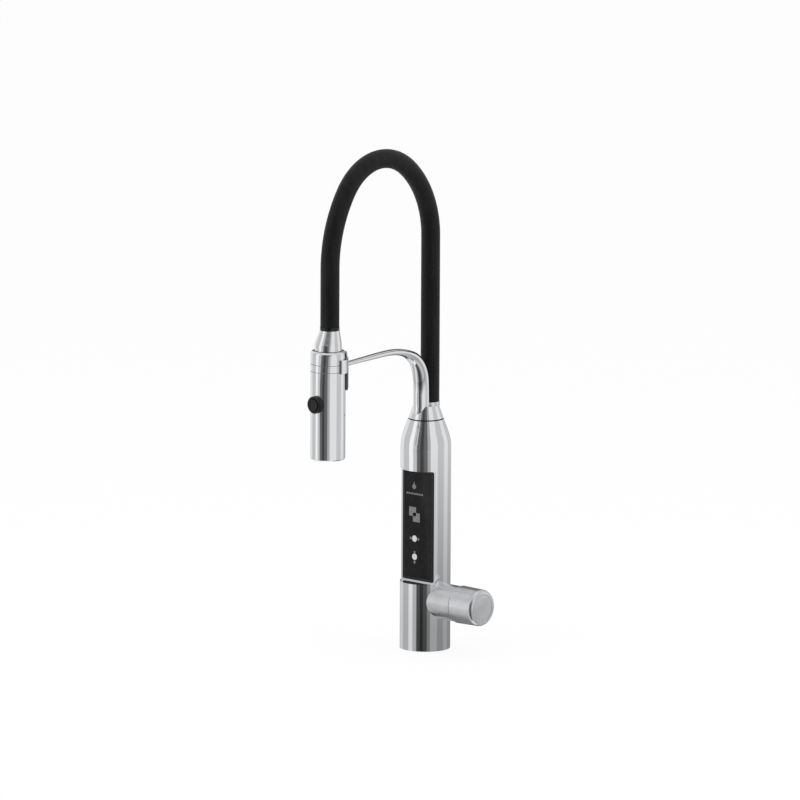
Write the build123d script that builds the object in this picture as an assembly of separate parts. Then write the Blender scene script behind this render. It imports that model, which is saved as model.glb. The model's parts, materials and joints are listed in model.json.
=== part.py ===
from build123d import *
import math
import os

os.makedirs("parts", exist_ok=True)

# A pillar kitchen tap with a touch panel, a side knob and a hose spray held by a docking arm.
# Millimetres, +Z up, origin on the worktop at the column's axis, front towards -Y, knob towards +X.

# Clearances that several pieces share
air_gap = 0.4            # between two pieces that move past each other
fit_gap = 0.05           # radial clearance of a running fit
seat_gap = 0.1           # between two still pieces that slip together
past = 1.0               # how far a cut runs past the face that it opens

# Column
column_radius = 26.0
column_wall = 2.4
rim_gap = 0.3            # the chrome rim stands this far above the worktop
shoulder_blend = 45.0    # radius that turns the side into the shoulder
shoulder_angle = 20.05   # slope of the shoulder, degrees from vertical
shoulder_rise = 29.0     # from the start of the shoulder to the swivel joint
neck_height = 18.0       # thick ring under the swivel joint
neck_bore = 11.4

# Flat on the front, and the touch panel in it
flat_distance = 11.0     # from the column's axis to the flat
panel_lift = 1.3         # from the top of the handle's boss to the panel
panel_height = 115.8
panel_headroom = 23.6    # from the panel's top to the start of the shoulder
panel_width = 42.0
panel_corner = 2.0
panel_margin = 1.2       # chrome left above and below the panel
panel_proud = 0.8
panel_rim = 3.2          # visible width of the frame round the glass
panel_depth = 7.0        # depth of the frame behind the flat
panel_wall = 2.2
frame_overlap = 1.4      # how far the frame laps onto the flat
gasket_thickness = 0.5
gasket_inset = 0.4
glass_thickness = 1.6
glass_sink = 0.1
board_thickness = 1.6
board_depth = 3.4        # from the back of the glass to the board
back_cover_thickness = 1.5
light_guide_size = 9.0
light_guide_count = 5

# Handle on the side
handle_height = 51.8
boss_radius = 18.5
boss_wall = 2.1
boss_end = 48.3          # from the column's axis
pivot_distance = 34.0    # centre of the knob's ball-shaped travel
tilt_range = 18.0
dome_wall = 1.6
dome_skirt_wall = 2.1
dome_skirt_depth = 2.8
knob_gap = 1.5           # visible groove between boss and knob
knob_back_radius = 19.5
knob_front_radius = 19.0
knob_end = 80.5
knob_edge = 4.6          # width of the rounded front edge
knob_face = 4.5          # thickness of the knob's front wall
knob_cap_radius = 13.0
knob_cap_thickness = 1.4
stem_radius = 2.8
stem_depth = 15.0        # how far the stem enters the knob's hub
hub_radius = 8.0
grub_radius = 2.5
grub_place = 6.0         # from the back of the hub to the grub screw

# Cartridge
cartridge_radius = 12.5
cartridge_wall = 2.0
cartridge_back = 6.5     # from the column's axis to the cartridge's base
cartridge_base = 7.5
cartridge_lip = 3.0
cartridge_mouth = 8.4
cartridge_front = 41.0
disc_thickness = 3.0
disc_gap = 0.05
lever_length = 10.0
lever_radius = 2.0
lever_tip = 2.7
ball_radius = 4.6
pin_radius = 1.2
port_radius = 2.4
port_circle = 6.0
cartridge_nut_length = 4.0

# Mixing block, pipes and inlets
block_floor = 9.8        # thickness under the cartridge
inlet_circle = 7.4
inlet_outer = 6.2
inlet_bore = 4.5
inlet_way = 3.5
inlet_thread_length = 12.0
inlet_bottom = 4.0
inlet_names = ("hot", "cold", "filtered")
mixed_pipe_radius = 4.0
filtered_pipe_radius = 3.0
pipe_wall = 0.8
pipe_spread = 8.0
pipe_back = 11.0
pipe_socket = 4.0        # depth of the pipes' holes in the mixing block

# Base and worktop fixing
seal_thickness = 2.2
seal_gap = 1.0
insert_height = 12.0
shank_radius = 16.0
shank_bore = 13.8
shank_length = 60.0
worktop_thickness = 40.0
washer_radius = 27.5
washer_gap = 0.4
rubber_washer_thickness = 3.0
steel_washer_thickness = 2.0
nut_across_flats = 42.0
nut_thickness = 8.0

# Swivel joint
bush_flange = 0.8
bush_set_back = 0.6
bush_wall = 1.7
spigot_wall = 2.45
spigot_tail = 4.5        # spigot left below the neck
collar_rise = 14.3
collar_floor = 3.0
clip_thickness = 1.6
clip_groove = 0.7
clip_reach = 2.6
clip_drop_gap = 0.5
core_post_radius = 6.0
core_post_rise = 14.0    # of the core's post above the neck's underside
core_bore = 3.5
core_flange_radius = 18.0
core_flange_thickness = 6.0
bell_wall = 1.2
bell_depth = 18.0
seal_section = 0.8
seal_places = (2.0, 9.0)
groove_slack = 0.15

# Hose
hose_radius = 9.8
sleeve_thickness = 1.5
hose_bore = 5.0
hose_back = 5.8          # rear leg behind the column's axis
reach = 153.8            # between the two legs of the hose
rear_leg = 172.8
crown_radius = 64.3      # bend at the crown, tighter than the bends beside it
rear_slack = 13.1        # how much deeper the rear side of the arch is than a half circle
front_slack = 27.1
front_leg = 60.3
ferrule_height = 3.3
ferrule_lip = 0.3
barb_length = 14.0
hose_stub = 7.0
stub_radius = 7.0

# Spray head
head_offset = 2.3        # head's axis in front of the hose's
head_radius = 18.0
head_wall = 1.8
head_length = 112.8
head_edge = 1.0
neck_rise = 20.8
neck_cylinder = 6.9
neck_radius = 13.85
neck_wall = 1.8
head_shoulder = 3.0
ring_top_drop = 13.8
ring_height = 7.0
groove_width = 0.5
cap_thickness = 2.2
cap_hole = 8.0
liner_wall = 1.9
face_thickness = 4.0
face_sink = 0.6
nozzle_radius = 0.9
nozzle_proud = 0.4
nozzle_ring_radii = (9.2, 12.8)
nozzle_counts = (10, 16)
aerator_radius = 6.0
aerator_wall = 1.0
aerator_hole = 0.9
aerator_circle = 3.2
nipple_radius = 6.4
nipple_bore = 3.6
nipple_overlap = 8.0     # shared height of the nipple's two offset parts
socket_depth = 14.0
socket_wall = 3.0
diverter_top_drop = 36.0
diverter_height = 34.0
outlet_way = 2.5

# Push button of the spray head
button_drop = 54.2
bezel_radius = 9.0
bezel_proud = 4.2
bezel_ring = 2.6
bezel_edge = 0.8
button_proud = 1.0
button_thickness = 3.5
button_dish = 0.5
button_travel = 2.0
spool_radius = 2.2
spool_ring = 4.0
spool_back = 9.0
membrane_thickness = 0.8
membrane_seat = 1.0      # how far the bezel laps over the membrane

# Docking arm and cradle
post_offset = 7.5        # in front of the column's axis
post_radius = 8.5
post_rise = 20.7         # straight part above the collar
post_foot = 2.0
hose_clearance = 0.5
rod_drop = 18.5          # below the top of the head
rod_width = 9.6
rod_thickness = 5.2
rod_end_width = 8.0
rod_end_thickness = 3.8
arm_steps = 16
cradle_top_drop = 2.0
cradle_height = 38.8
cradle_wall = 2.6
cradle_lip = 0.8
cradle_angle = 62.0      # each side of the back
clip_angle = 96.0
clip_drop = 8.3
clip_height = 14.0
clip_wall = 2.2
magnet_radius = 5.0
magnet_thickness = 1.6
magnet_drop = 14.0

# Heights and places that follow from the sizes above
panel_bottom = handle_height + boss_radius + panel_lift
panel_top = panel_bottom + panel_height
straight_height = panel_top + panel_headroom
ceiling = straight_height + shoulder_rise - neck_height
split_height = straight_height + shoulder_rise
collar_bottom = split_height + bush_flange + air_gap
collar_top = split_height + collar_rise
hose_start = collar_top + ferrule_height
arch_base = hose_start + rear_leg
crown = arch_base + reach / 2 + rear_slack
front_leg_top = crown - reach / 2 - front_slack
hose_end = front_leg_top - front_leg
neck_top = hose_end - ferrule_height
head_top = neck_top - neck_rise
head_bottom = head_top - head_length
ring_top = head_top - ring_top_drop
ring_bottom = ring_top - ring_height
button_height = head_top - button_drop
rod_height = head_top - rod_drop
front_leg_y = hose_back - reach
crown_y = hose_back - reach / 2
head_y = front_leg_y - head_offset
inner_radius = column_radius - column_wall
flat_bottom = panel_bottom - panel_margin
flat_top = panel_top + panel_margin
window_width = panel_width - 2 * frame_overlap
window_height = panel_height - 2 * frame_overlap
shell_width = window_width - 2 * gasket_thickness
shell_height = window_height - 2 * gasket_thickness
tray_width = shell_width - 2 * panel_wall
tray_height = shell_height - 2 * panel_wall
panel_front = flat_distance + panel_proud
glass_back = panel_front - glass_sink - glass_thickness
board_front = glass_back - board_depth
tray_back = flat_distance - panel_depth
block_bottom = handle_height - cartridge_radius - block_floor
block_top = flat_bottom - column_wall - air_gap
insert_top = seal_thickness + insert_height
core_top = ceiling - bell_depth
core_bottom = core_top - core_flange_thickness
spigot_radius = neck_bore - bush_wall - fit_gap
spigot_bore = spigot_radius - spigot_wall
seal_major = spigot_bore - fit_gap - seal_section
bell_inner = spigot_radius + clip_reach + air_gap
ball_seat = math.hypot(boss_end - pivot_distance, boss_radius)
dome_hole = ball_seat * math.sin(math.radians(tilt_range)) + stem_radius + air_gap
knob_ball = ball_seat + air_gap
hub_start = pivot_distance + knob_ball
cavity_radius = cartridge_radius - cartridge_wall
carrier_inner = lever_length * math.sin(math.radians(tilt_range)) + lever_tip + air_gap
disc_top = cartridge_back + cartridge_base + 2 * disc_thickness + disc_gap
cradle_radius = head_radius + air_gap
cradle_top = head_top - cradle_top_drop
cradle_bottom = cradle_top - cradle_height


# Small helpers

def lathe(*outline):
    """A solid turned about Z from (radius, height) points."""
    return revolve(Plane.XZ * make_face(Polyline(*outline, close=True)), Axis.Z)


def tube(outer, inner, low, high):
    return lathe((inner, low), (outer, low), (outer, high), (inner, high))


def rod(radius, low, high):
    return lathe((0, low), (radius, low), (radius, high), (0, high))


def sideways(shape):
    """Lay a piece made about Z along +X at the handle's height."""
    return Pos(0, 0, handle_height) * Rot(0, 90, 0) * shape


def forwards(shape):
    """Point a piece made about Z to the front from the head's axis at the button's height."""
    return Pos(0, head_y, button_height) * Rot(90, 0, 0) * shape


def at_head(shape):
    return Pos(0, head_y, 0) * shape


def ring_of(shape, radius, count, start=0.0):
    """Copies of a piece evenly round the Z axis."""
    return [Rot(0, 0, start + 360 * i / count) * Pos(radius, 0, 0) * shape for i in range(count)]


def block(x0, x1, y0, y1, z0, z1):
    size = Box(x1 - x0, y1 - y0, z1 - z0, align=(Align.MIN, Align.MIN, Align.MIN))
    return Pos(x0, y0, z0) * size


def upright_slab(width, height, corner, front, back):
    """A rounded rectangle standing upright in the flat, between two distances from the axis."""
    middle = (panel_bottom + panel_top) / 2
    plane = Plane(origin=(0, -front, middle), x_dir=(1, 0, 0), z_dir=(0, 1, 0))
    outline = plane * RectangleRounded(width, height, min(corner, width / 3))
    return extrude(outline, amount=front - back)


# Column

def shoulder_radius(height):
    """Outside radius of the sloping shoulder at a height."""
    angle = math.radians(shoulder_angle)
    corner = straight_height + shoulder_blend * math.tan(angle / 2)
    return column_radius - (height - corner) * math.tan(angle)


def bottle(inset, top):
    """The column's bottle shape up to a height, smaller all round by inset."""
    angle = math.radians(shoulder_angle)
    arc = shoulder_blend - inset
    centre = column_radius - shoulder_blend
    side = column_radius - inset
    middle = (centre + arc * math.cos(angle / 2), straight_height + arc * math.sin(angle / 2))
    end = (centre + arc * math.cos(angle), straight_height + arc * math.sin(angle))
    top_radius = shoulder_radius(top) - inset / math.cos(angle)
    outline = Polyline((0, straight_height), (0, 0), (side, 0), (side, straight_height))
    outline += ThreePointArc((side, straight_height), middle, end)
    outline += Polyline(end, (top_radius, top), (0, top), (0, straight_height))
    return revolve(Plane.XZ * make_face(outline), Axis.Z)


def front_cut(distance, low, high):
    far = 2 * column_radius
    return block(-far, far, -far, -distance, low, high)


def column_body():
    outside = bottle(0, split_height) - front_cut(flat_distance, flat_bottom, flat_top)
    hollow = bottle(column_wall, ceiling)
    hollow -= front_cut(flat_distance - column_wall, flat_bottom - column_wall, flat_top + column_wall)
    body = outside - hollow - sideways(rod(boss_radius, 0, boss_end))
    body -= rod(neck_bore, ceiling - past, split_height + past)
    body -= upright_slab(window_width, window_height, panel_corner,
                         flat_distance + past, flat_distance - column_wall - past)
    return body - rod(2 * column_radius, -past, rim_gap)


def handle_boss():
    """Tube let into the column's side, flush with the wall inside."""
    return sideways(tube(boss_radius, boss_radius - boss_wall, 0, boss_end)) - bottle(column_wall, ceiling)


# Touch panel

def panel_frame():
    frame = upright_slab(panel_width, panel_height, panel_corner, panel_front, flat_distance)
    frame += upright_slab(shell_width, shell_height, panel_corner, flat_distance, tray_back)
    frame -= upright_slab(panel_width - 2 * panel_rim, panel_height - 2 * panel_rim,
                          panel_corner / 2, panel_front + past, glass_back)
    return frame - upright_slab(tray_width, tray_height, panel_corner / 2, panel_front, tray_back - past)


def panel_gasket():
    slack = seat_gap / 2
    front = flat_distance - gasket_inset
    back = flat_distance - column_wall + gasket_inset
    ring = upright_slab(window_width - 2 * slack, window_height - 2 * slack, panel_corner, front, back)
    return ring - upright_slab(shell_width + 2 * slack, shell_height + 2 * slack, panel_corner,
                               front + past, back - past)


def panel_glass():
    width = panel_width - 2 * panel_rim - seat_gap
    height = panel_height - 2 * panel_rim - seat_gap
    return upright_slab(width, height, panel_corner / 2, panel_front - glass_sink, glass_back)


def touch_board():
    board = upright_slab(tray_width - 2 * seat_gap, tray_height - 2 * seat_gap, panel_corner / 2,
                         board_front, board_front - board_thickness)
    return board


def light_guide_heights():
    pitch = tray_height / light_guide_count
    return [(panel_bottom + panel_top) / 2 + pitch * (i - (light_guide_count - 1) / 2)
            for i in range(light_guide_count)]


def light_guides():
    """Clear blocks that carry the lamps' light from the board to the glass."""
    half = light_guide_size / 2
    return [block(-half, half, -glass_back, -board_front, z - half, z + half)
            for z in light_guide_heights()]


def panel_back_cover():
    return upright_slab(shell_width, shell_height, panel_corner, tray_back, tray_back - back_cover_thickness)


# Water ways inside the column

def inlet_angles():
    return [90 + 360 * i / len(inlet_names) for i in range(len(inlet_names))]


def mixing_block():
    body = rod(inner_radius - seat_gap, block_bottom, block_top)
    body -= sideways(rod(cartridge_radius + seat_gap, cartridge_back, 2 * column_radius))
    for angle in inlet_angles():
        way = rod(inlet_way, block_bottom - past, block_bottom + block_floor / 2)
        body -= Rot(0, 0, angle) * Pos(inlet_circle, 0, 0) * way
    for side, radius in ((-pipe_spread, mixed_pipe_radius), (pipe_spread, filtered_pipe_radius)):
        way = rod(radius - pipe_wall, block_top - pipe_socket, block_top + past)
        body -= Pos(side, pipe_back, 0) * way
    return body


def inlet_sockets():
    """Threaded sockets that the supply tails screw into from below."""
    thread_top = inlet_bottom + inlet_thread_length
    socket = lathe((inlet_bore, inlet_bottom), (inlet_outer, inlet_bottom), (inlet_outer, block_bottom),
                   (inlet_way, block_bottom), (inlet_way, thread_top), (inlet_bore, thread_top))
    return ring_of(socket, inlet_circle, len(inlet_names), inlet_angles()[0])


def mixed_water_pipe():
    pipe = tube(mixed_pipe_radius, mixed_pipe_radius - pipe_wall, block_top, core_bottom)
    return Pos(-pipe_spread, pipe_back, 0) * pipe


def filtered_water_pipe():
    pipe = tube(filtered_pipe_radius, filtered_pipe_radius - pipe_wall, block_top, core_bottom)
    return Pos(pipe_spread, pipe_back, 0) * pipe


# Swivel joint

def swivel_core():
    """Still post inside the turning spigot, with a bell that hangs it from the neck."""
    top = ceiling + core_post_rise
    core = rod(core_flange_radius, core_bottom, core_top) + rod(core_post_radius, core_top, top)
    core += tube(bell_inner + bell_wall, bell_inner, core_top, ceiling)
    core -= rod(core_bore, core_bottom + core_flange_thickness / 2, top + past)
    for place in seal_places:
        half = seal_section + groove_slack
        core -= tube(2 * core_post_radius, seal_major - seal_section, ceiling + place - half,
                     ceiling + place + half) - tube(3 * core_post_radius, spigot_bore, ceiling, top)
    return core


def swivel_seals():
    return [tube(seal_major + seal_section, seal_major - seal_section, ceiling + place - seal_section,
                 ceiling + place + seal_section) for place in seal_places]


def swivel_bush():
    bush = tube(neck_bore, spigot_radius + fit_gap, ceiling, split_height)
    return bush + tube(shoulder_radius(split_height) - bush_set_back, spigot_radius + fit_gap,
                       split_height, split_height + bush_flange)


def swivel_collar():
    tail = ceiling - spigot_tail
    collar = lathe((0, collar_bottom), (shoulder_radius(collar_bottom), collar_bottom),
                   (shoulder_radius(collar_top), collar_top), (0, collar_top))
    collar += Pos(0, hose_back, 0) * rod(hose_radius + ferrule_lip, collar_bottom, collar_top)
    collar += rod(spigot_radius, tail, collar_bottom)
    collar -= rod(spigot_bore, tail - past, collar_bottom + collar_floor)
    collar -= Pos(0, hose_back, 0) * rod(stub_radius, collar_top - hose_stub, collar_top + past)
    collar -= Pos(0, hose_back, 0) * rod(nipple_bore, collar_bottom, collar_top)
    clip_high = ceiling - clip_drop_gap
    collar -= tube(2 * spigot_radius, spigot_radius - clip_groove, clip_high - clip_thickness, clip_high)
    return collar - docking_arm()


def collar_clip():
    high = ceiling - clip_drop_gap
    return tube(spigot_radius + clip_reach, spigot_radius - clip_groove, high - clip_thickness, high)


# Hose

def arch_side(side, slack):
    """A slack arc up from a leg and the crown's own arc: side is 1 at the rear, -1 at the front."""
    half = reach / 2
    drop = half + slack
    turn = math.pi / 2 - 2 * math.atan((half - crown_radius) / (drop - crown_radius))
    slack_radius = crown_radius + (drop - crown_radius) / math.cos(turn)

    def on_arc(radius, ahead, height, angle):
        return (0, crown_y + side * (ahead + radius * math.sin(angle)), height + radius * math.cos(angle))

    def leg_arc(angle):
        return on_arc(slack_radius, half - slack_radius, crown - drop, angle)

    def crown_arc(angle):
        return on_arc(crown_radius, 0, crown - crown_radius, angle)

    right = math.pi / 2
    return ((leg_arc(right), leg_arc((turn + right) / 2), leg_arc(turn)),
            (crown_arc(turn), crown_arc(turn / 2), crown_arc(0)))


def hose_path():
    """Straight rear leg, an arch that is slacker at its front than at its rear, straight front leg."""
    rear_bend, rear_crown = arch_side(1, rear_slack)
    front_bend, front_crown = arch_side(-1, front_slack)
    path = Line((0, hose_back, hose_start), rear_bend[0])
    path += ThreePointArc(*rear_bend)
    path += ThreePointArc(*rear_crown)
    path += ThreePointArc(*reversed(front_crown))
    path += ThreePointArc(*reversed(front_bend))
    path += Line(front_bend[0], (0, front_leg_y, hose_end))
    return path


def along_hose(outer, inner):
    section = Plane(origin=(0, hose_back, hose_start)) * (Circle(outer) - Circle(inner))
    return sweep(section, path=hose_path(), transition=Transition.RIGHT)


def hose_sleeve():
    return along_hose(hose_radius, hose_radius - sleeve_thickness)


def hose_inner_tube():
    return along_hose(hose_radius - sleeve_thickness, hose_bore)


def ferrule(y, low):
    ring = tube(hose_radius + ferrule_lip, nipple_radius, low, low + ferrule_height)
    return Pos(0, y, 0) * ring


def hose_lower_ferrule():
    return ferrule(hose_back, collar_top)


def hose_upper_ferrule():
    return ferrule(front_leg_y, neck_top)


def hose_tail():
    """Brass end that joins the hose to the collar."""
    tail = tube(stub_radius, nipple_bore, collar_top - hose_stub, collar_top)
    tail += tube(nipple_radius, nipple_bore, collar_top, hose_start)
    return Pos(0, hose_back, 0) * (tail + tube(hose_bore, nipple_bore, hose_start, hose_start + barb_length))


# Spray head

def neck_nipple():
    """Brass end of the hose, cranked to the head's axis, on which the head turns."""
    middle = head_top + nipple_overlap
    low = head_top - socket_depth
    upper = rod(nipple_radius, head_top + air_gap, hose_end) + rod(hose_bore, hose_end, hose_end + barb_length)
    nipple = Pos(0, front_leg_y, 0) * upper + at_head(rod(nipple_radius, low, middle))
    nipple -= Pos(0, front_leg_y, 0) * rod(nipple_bore, head_top + air_gap, hose_end + barb_length + past)
    nipple -= at_head(rod(nipple_bore, low - past, middle - nipple_bore))
    seal = low + socket_depth / 3
    half = seal_section + groove_slack
    nipple -= at_head(tube(2 * nipple_radius, nipple_radius - seal_section, seal - half, seal + half))
    return nipple


def neck_seal():
    middle = head_top - socket_depth * 2 / 3
    return at_head(tube(nipple_radius, nipple_radius - seal_section, middle - seal_section,
                        middle + seal_section))


def head_neck():
    """Chrome neck that narrows from the head to the hose, which lies a little further back."""
    low = head_top + air_gap
    turn = head_top + neck_cylinder
    base = Plane((0, head_y, turn)) * Circle(neck_radius)
    tip = Plane((0, front_leg_y, neck_top)) * Circle(hose_radius + ferrule_lip)
    neck = at_head(rod(neck_radius, low, turn)) + loft([base, tip])
    base_hollow = Plane((0, head_y, turn)) * Circle(neck_radius - neck_wall)
    tip_hollow = Plane((0, front_leg_y, neck_top)) * Circle(nipple_radius)
    neck -= at_head(rod(neck_radius - neck_wall, low - past, turn))
    return neck - loft([base_hollow, tip_hollow])


def head_cap():
    low = ring_top + groove_width
    side = head_radius - head_wall
    round_centre = head_radius - head_shoulder
    shift = head_shoulder * math.sqrt(0.5)
    outline = Polyline((round_centre, head_top), (cap_hole, head_top), (cap_hole, head_top - cap_thickness),
                       (side, head_top - cap_thickness), (side, low), (head_radius, low),
                       (head_radius, head_top - head_shoulder))
    outline += ThreePointArc((head_radius, head_top - head_shoulder),
                             (round_centre + shift, head_top - head_shoulder + shift),
                             (round_centre, head_top))
    return at_head(revolve(Plane.XZ * make_face(outline), Axis.Z))


def head_ring():
    return at_head(tube(head_radius, head_radius - head_wall, ring_bottom, ring_top))


def head_shell():
    side = head_radius - head_wall
    high = ring_bottom - groove_width
    shell = at_head(lathe((side, head_bottom), (head_radius - head_edge, head_bottom),
                          (head_radius, head_bottom + head_edge), (head_radius, high), (side, high)))
    return shell - forwards(rod(bezel_radius + fit_gap, 0, 2 * head_radius))


def head_liner():
    """Plastic sleeve inside the head that carries the shells and the valve."""
    outer = head_radius - head_wall - seat_gap
    low = head_bottom + face_sink + face_thickness
    liner = at_head(tube(outer, outer - liner_wall, low, head_top - cap_thickness))
    return liner - forwards(rod(bezel_radius + fit_gap, 0, 2 * head_radius))


def valve_radius():
    return head_radius - head_wall - seat_gap - liner_wall - seat_gap


def diverter_body():
    """Valve block across the head, with the socket above it in which the nipple turns."""
    top = head_top - diverter_top_drop
    socket_floor = head_top - socket_depth - air_gap
    socket_outer = nipple_radius + socket_wall
    body = rod(valve_radius(), top - diverter_height, top)
    body += rod(socket_outer, top, head_top - cap_thickness - air_gap)
    body -= rod(nipple_radius + fit_gap, socket_floor, head_top)
    body -= rod(outlet_way, top - diverter_height - past, socket_floor + past)
    back = spool_back + button_travel + air_gap
    return at_head(body) - forwards(rod(spool_ring + fit_gap, -back, head_radius))


def diverter_spool():
    """Valve rod that the button pushes, with two sealing rings."""
    tip = head_radius + bezel_proud + button_proud - button_thickness
    spool = rod(spool_radius, -spool_back, tip)
    for place in (-spool_back, spool_back / 3):
        spool += rod(spool_ring, place, place + spool_ring)
    return forwards(spool)


def spool_membrane():
    """Rubber disc that seals the spool and returns the button."""
    low = valve_radius()
    rim = bezel_radius - bezel_ring + membrane_seat - fit_gap
    return forwards(tube(rim, spool_radius + fit_gap, low, low + membrane_thickness))


def button_bezel():
    top = head_radius + bezel_proud
    inner = bezel_radius - bezel_ring
    low = valve_radius() + seat_gap
    ring = lathe((inner, low + membrane_thickness), (inner, top), (bezel_radius - bezel_edge, top),
                 (bezel_radius, top - bezel_edge), (bezel_radius, low), (inner + membrane_seat, low),
                 (inner + membrane_seat, low + membrane_thickness))
    return forwards(ring)


def spray_button():
    top = head_radius + bezel_proud + button_proud
    radius = bezel_radius - bezel_ring - air_gap
    cap = lathe((0, top - button_thickness), (radius, top - button_thickness), (radius, top - button_dish),
                (radius - button_dish, top), (radius / 2, top - button_dish / 2), (0, top - button_dish))
    return forwards(cap)


def nozzle_places():
    rings = zip(nozzle_ring_radii, nozzle_counts)
    return [(radius, 360 * i / count) for radius, count in rings for i in range(count)]


def spray_face():
    low = head_bottom + face_sink
    high = low + face_thickness
    face = rod(head_radius - head_wall - seat_gap, low, high)
    face -= rod(aerator_radius + seat_gap, low - past, high + past)
    holes = [Rot(0, 0, angle) * Pos(radius, 0, 0) * rod(nozzle_radius, low - past, high + past)
             for radius, angle in nozzle_places()]
    return at_head(face - holes)


def spray_nozzles():
    low = head_bottom + face_sink
    nozzle = rod(nozzle_radius, low - nozzle_proud, low + face_thickness)
    return [at_head(Rot(0, 0, angle) * Pos(radius, 0, 0) * nozzle) for radius, angle in nozzle_places()]


def aerator_insert():
    low = head_bottom + face_sink
    high = low + face_thickness
    insert = rod(aerator_radius, low, high)
    insert -= rod(aerator_radius - aerator_wall, low - past, low + face_thickness / 2)
    holes = ring_of(rod(aerator_hole, low - past, high + past), aerator_circle, 6)
    return at_head(insert - holes - rod(aerator_hole, low - past, high + past))


# Docking arm

def arm_stations():
    """Places along the arm: distance in front, height, width and thickness."""
    post_top = collar_top + post_rise
    rise = rod_height - post_top
    tip = -head_y - cradle_radius - cradle_wall / 2
    span = tip - post_offset
    post = 2 * post_radius
    return (
        (post_offset, collar_bottom + post_foot, post, post),
        (post_offset, post_top, post, post),
        (post_offset + 0.02 * span, post_top + 0.43 * rise, post, 0.95 * post),
        (post_offset + 0.085 * span, post_top + 0.76 * rise, 0.88 * post, 0.78 * post),
        (post_offset + 0.175 * span, post_top + 0.94 * rise, 0.76 * post, 0.52 * post),
        (post_offset + 0.28 * span, post_top + 1.04 * rise, 0.66 * post, 0.4 * post),
        (post_offset + 0.44 * span, post_top + 1.08 * rise, 1.06 * rod_width, 1.1 * rod_thickness),
        (post_offset + 0.62 * span, post_top + 1.06 * rise, rod_width, rod_thickness),
        (tip, rod_height, rod_end_width, rod_end_thickness),
    )


def arm_sections():
    """Even ovals along the arm: a round post that bends forward into a slim flat rod."""
    stations = arm_stations()
    points = [(0, -ahead, height) for ahead, height, width, thickness in stations]
    line = Spline(*points, tangents=[(0, 0, 1), (0, -1, -0.06)])
    lengths = [0.0]
    for here, there in zip(points, points[1:]):
        lengths.append(lengths[-1] + math.dist(here, there))
    sections = []
    for i in range(arm_steps + 1):
        share = i / arm_steps
        plane = Plane(origin=line @ share, x_dir=(1, 0, 0), z_dir=line % share)
        width = between(share * lengths[-1], lengths, [station[2] for station in stations])
        thickness = between(share * lengths[-1], lengths, [station[3] for station in stations])
        sections.append(plane * Ellipse(width / 2, thickness / 2))
    return sections


def between(place, places, values):
    """The value at a place, read off a straight line between the two nearest places."""
    for i in range(1, len(places)):
        if place <= places[i] or i == len(places) - 1:
            share = (place - places[i - 1]) / (places[i] - places[i - 1])
            return values[i - 1] + share * (values[i] - values[i - 1])


def docking_arm():
    """The arm, hollowed at the back where the hose stands in it."""
    hose = Pos(0, hose_back, 0) * rod(hose_radius + hose_clearance, collar_bottom, crown)
    return loft(arm_sections()) - hose - at_head(rod(cradle_radius + cradle_wall / 2, head_bottom, crown))


def sector(shape_outline, half_angle):
    """Part of a ring behind the head, the same angle each side of its back."""
    face = Plane.XZ * make_face(shape_outline)
    turned = revolve(face, Axis.Z, revolution_arc=2 * half_angle)
    return at_head(Rot(0, 0, 90 - half_angle) * turned)


def dock_cradle():
    """Shield behind the head, thin at its top edge, with a band that holds the head's sides."""
    outer = cradle_radius + cradle_wall
    low_band = head_top - clip_drop - clip_height
    high_band = head_top - clip_drop
    shield = Polyline((cradle_radius, cradle_bottom), (outer - cradle_wall / 3, cradle_bottom),
                      (outer, cradle_bottom + cradle_wall), (outer, high_band),
                      (cradle_radius + 0.55 * cradle_wall, high_band + 0.4 * (cradle_top - high_band)),
                      (cradle_radius + cradle_lip, cradle_top), (cradle_radius, cradle_top), close=True)
    band = Polyline((cradle_radius, low_band), (cradle_radius + clip_wall, low_band),
                    (cradle_radius + clip_wall, high_band), (cradle_radius, high_band), close=True)
    cradle = sector(shield, cradle_angle) + sector(band, clip_angle)
    cradle -= docking_arm()
    return cradle - magnet_at(magnet_radius, cradle_radius - cradle_wall)


def magnet_at(radius, inner):
    back = cradle_radius + seat_gap + magnet_thickness
    magnet = Rot(-90, 0, 0) * rod(radius, inner, back)
    return Pos(0, head_y, rod_height - magnet_drop) * magnet


def dock_magnet():
    return magnet_at(magnet_radius - seat_gap, cradle_radius + seat_gap)


# Handle and cartridge, made along Z and laid along +X

def on_ball(radius, ball):
    """Distance along the handle of a circle of this radius on a ball round the pivot."""
    return pivot_distance + math.sqrt(ball * ball - radius * radius)


def handle_dome():
    inner_ball = ball_seat - dome_wall
    inner_hole = dome_hole * inner_ball / ball_seat
    skirt_outer = boss_radius - boss_wall - seat_gap
    skirt_inner = skirt_outer - dome_skirt_wall
    skirt_low = boss_end - dome_skirt_depth
    half_out = (boss_radius + dome_hole) / 2
    half_in = (skirt_inner + inner_hole) / 2
    outline = ThreePointArc((boss_radius, boss_end), (half_out, on_ball(half_out, ball_seat)),
                            (dome_hole, on_ball(dome_hole, ball_seat)))
    outline += Line((dome_hole, on_ball(dome_hole, ball_seat)), (inner_hole, on_ball(inner_hole, inner_ball)))
    outline += ThreePointArc((inner_hole, on_ball(inner_hole, inner_ball)),
                             (half_in, on_ball(half_in, inner_ball)),
                             (skirt_inner, on_ball(skirt_inner, inner_ball)))
    outline += Polyline((skirt_inner, on_ball(skirt_inner, inner_ball)), (skirt_inner, skirt_low),
                        (skirt_outer, skirt_low), (skirt_outer, boss_end), (boss_radius, boss_end))
    return sideways(revolve(Plane.XZ * make_face(outline), Axis.Z))


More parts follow.
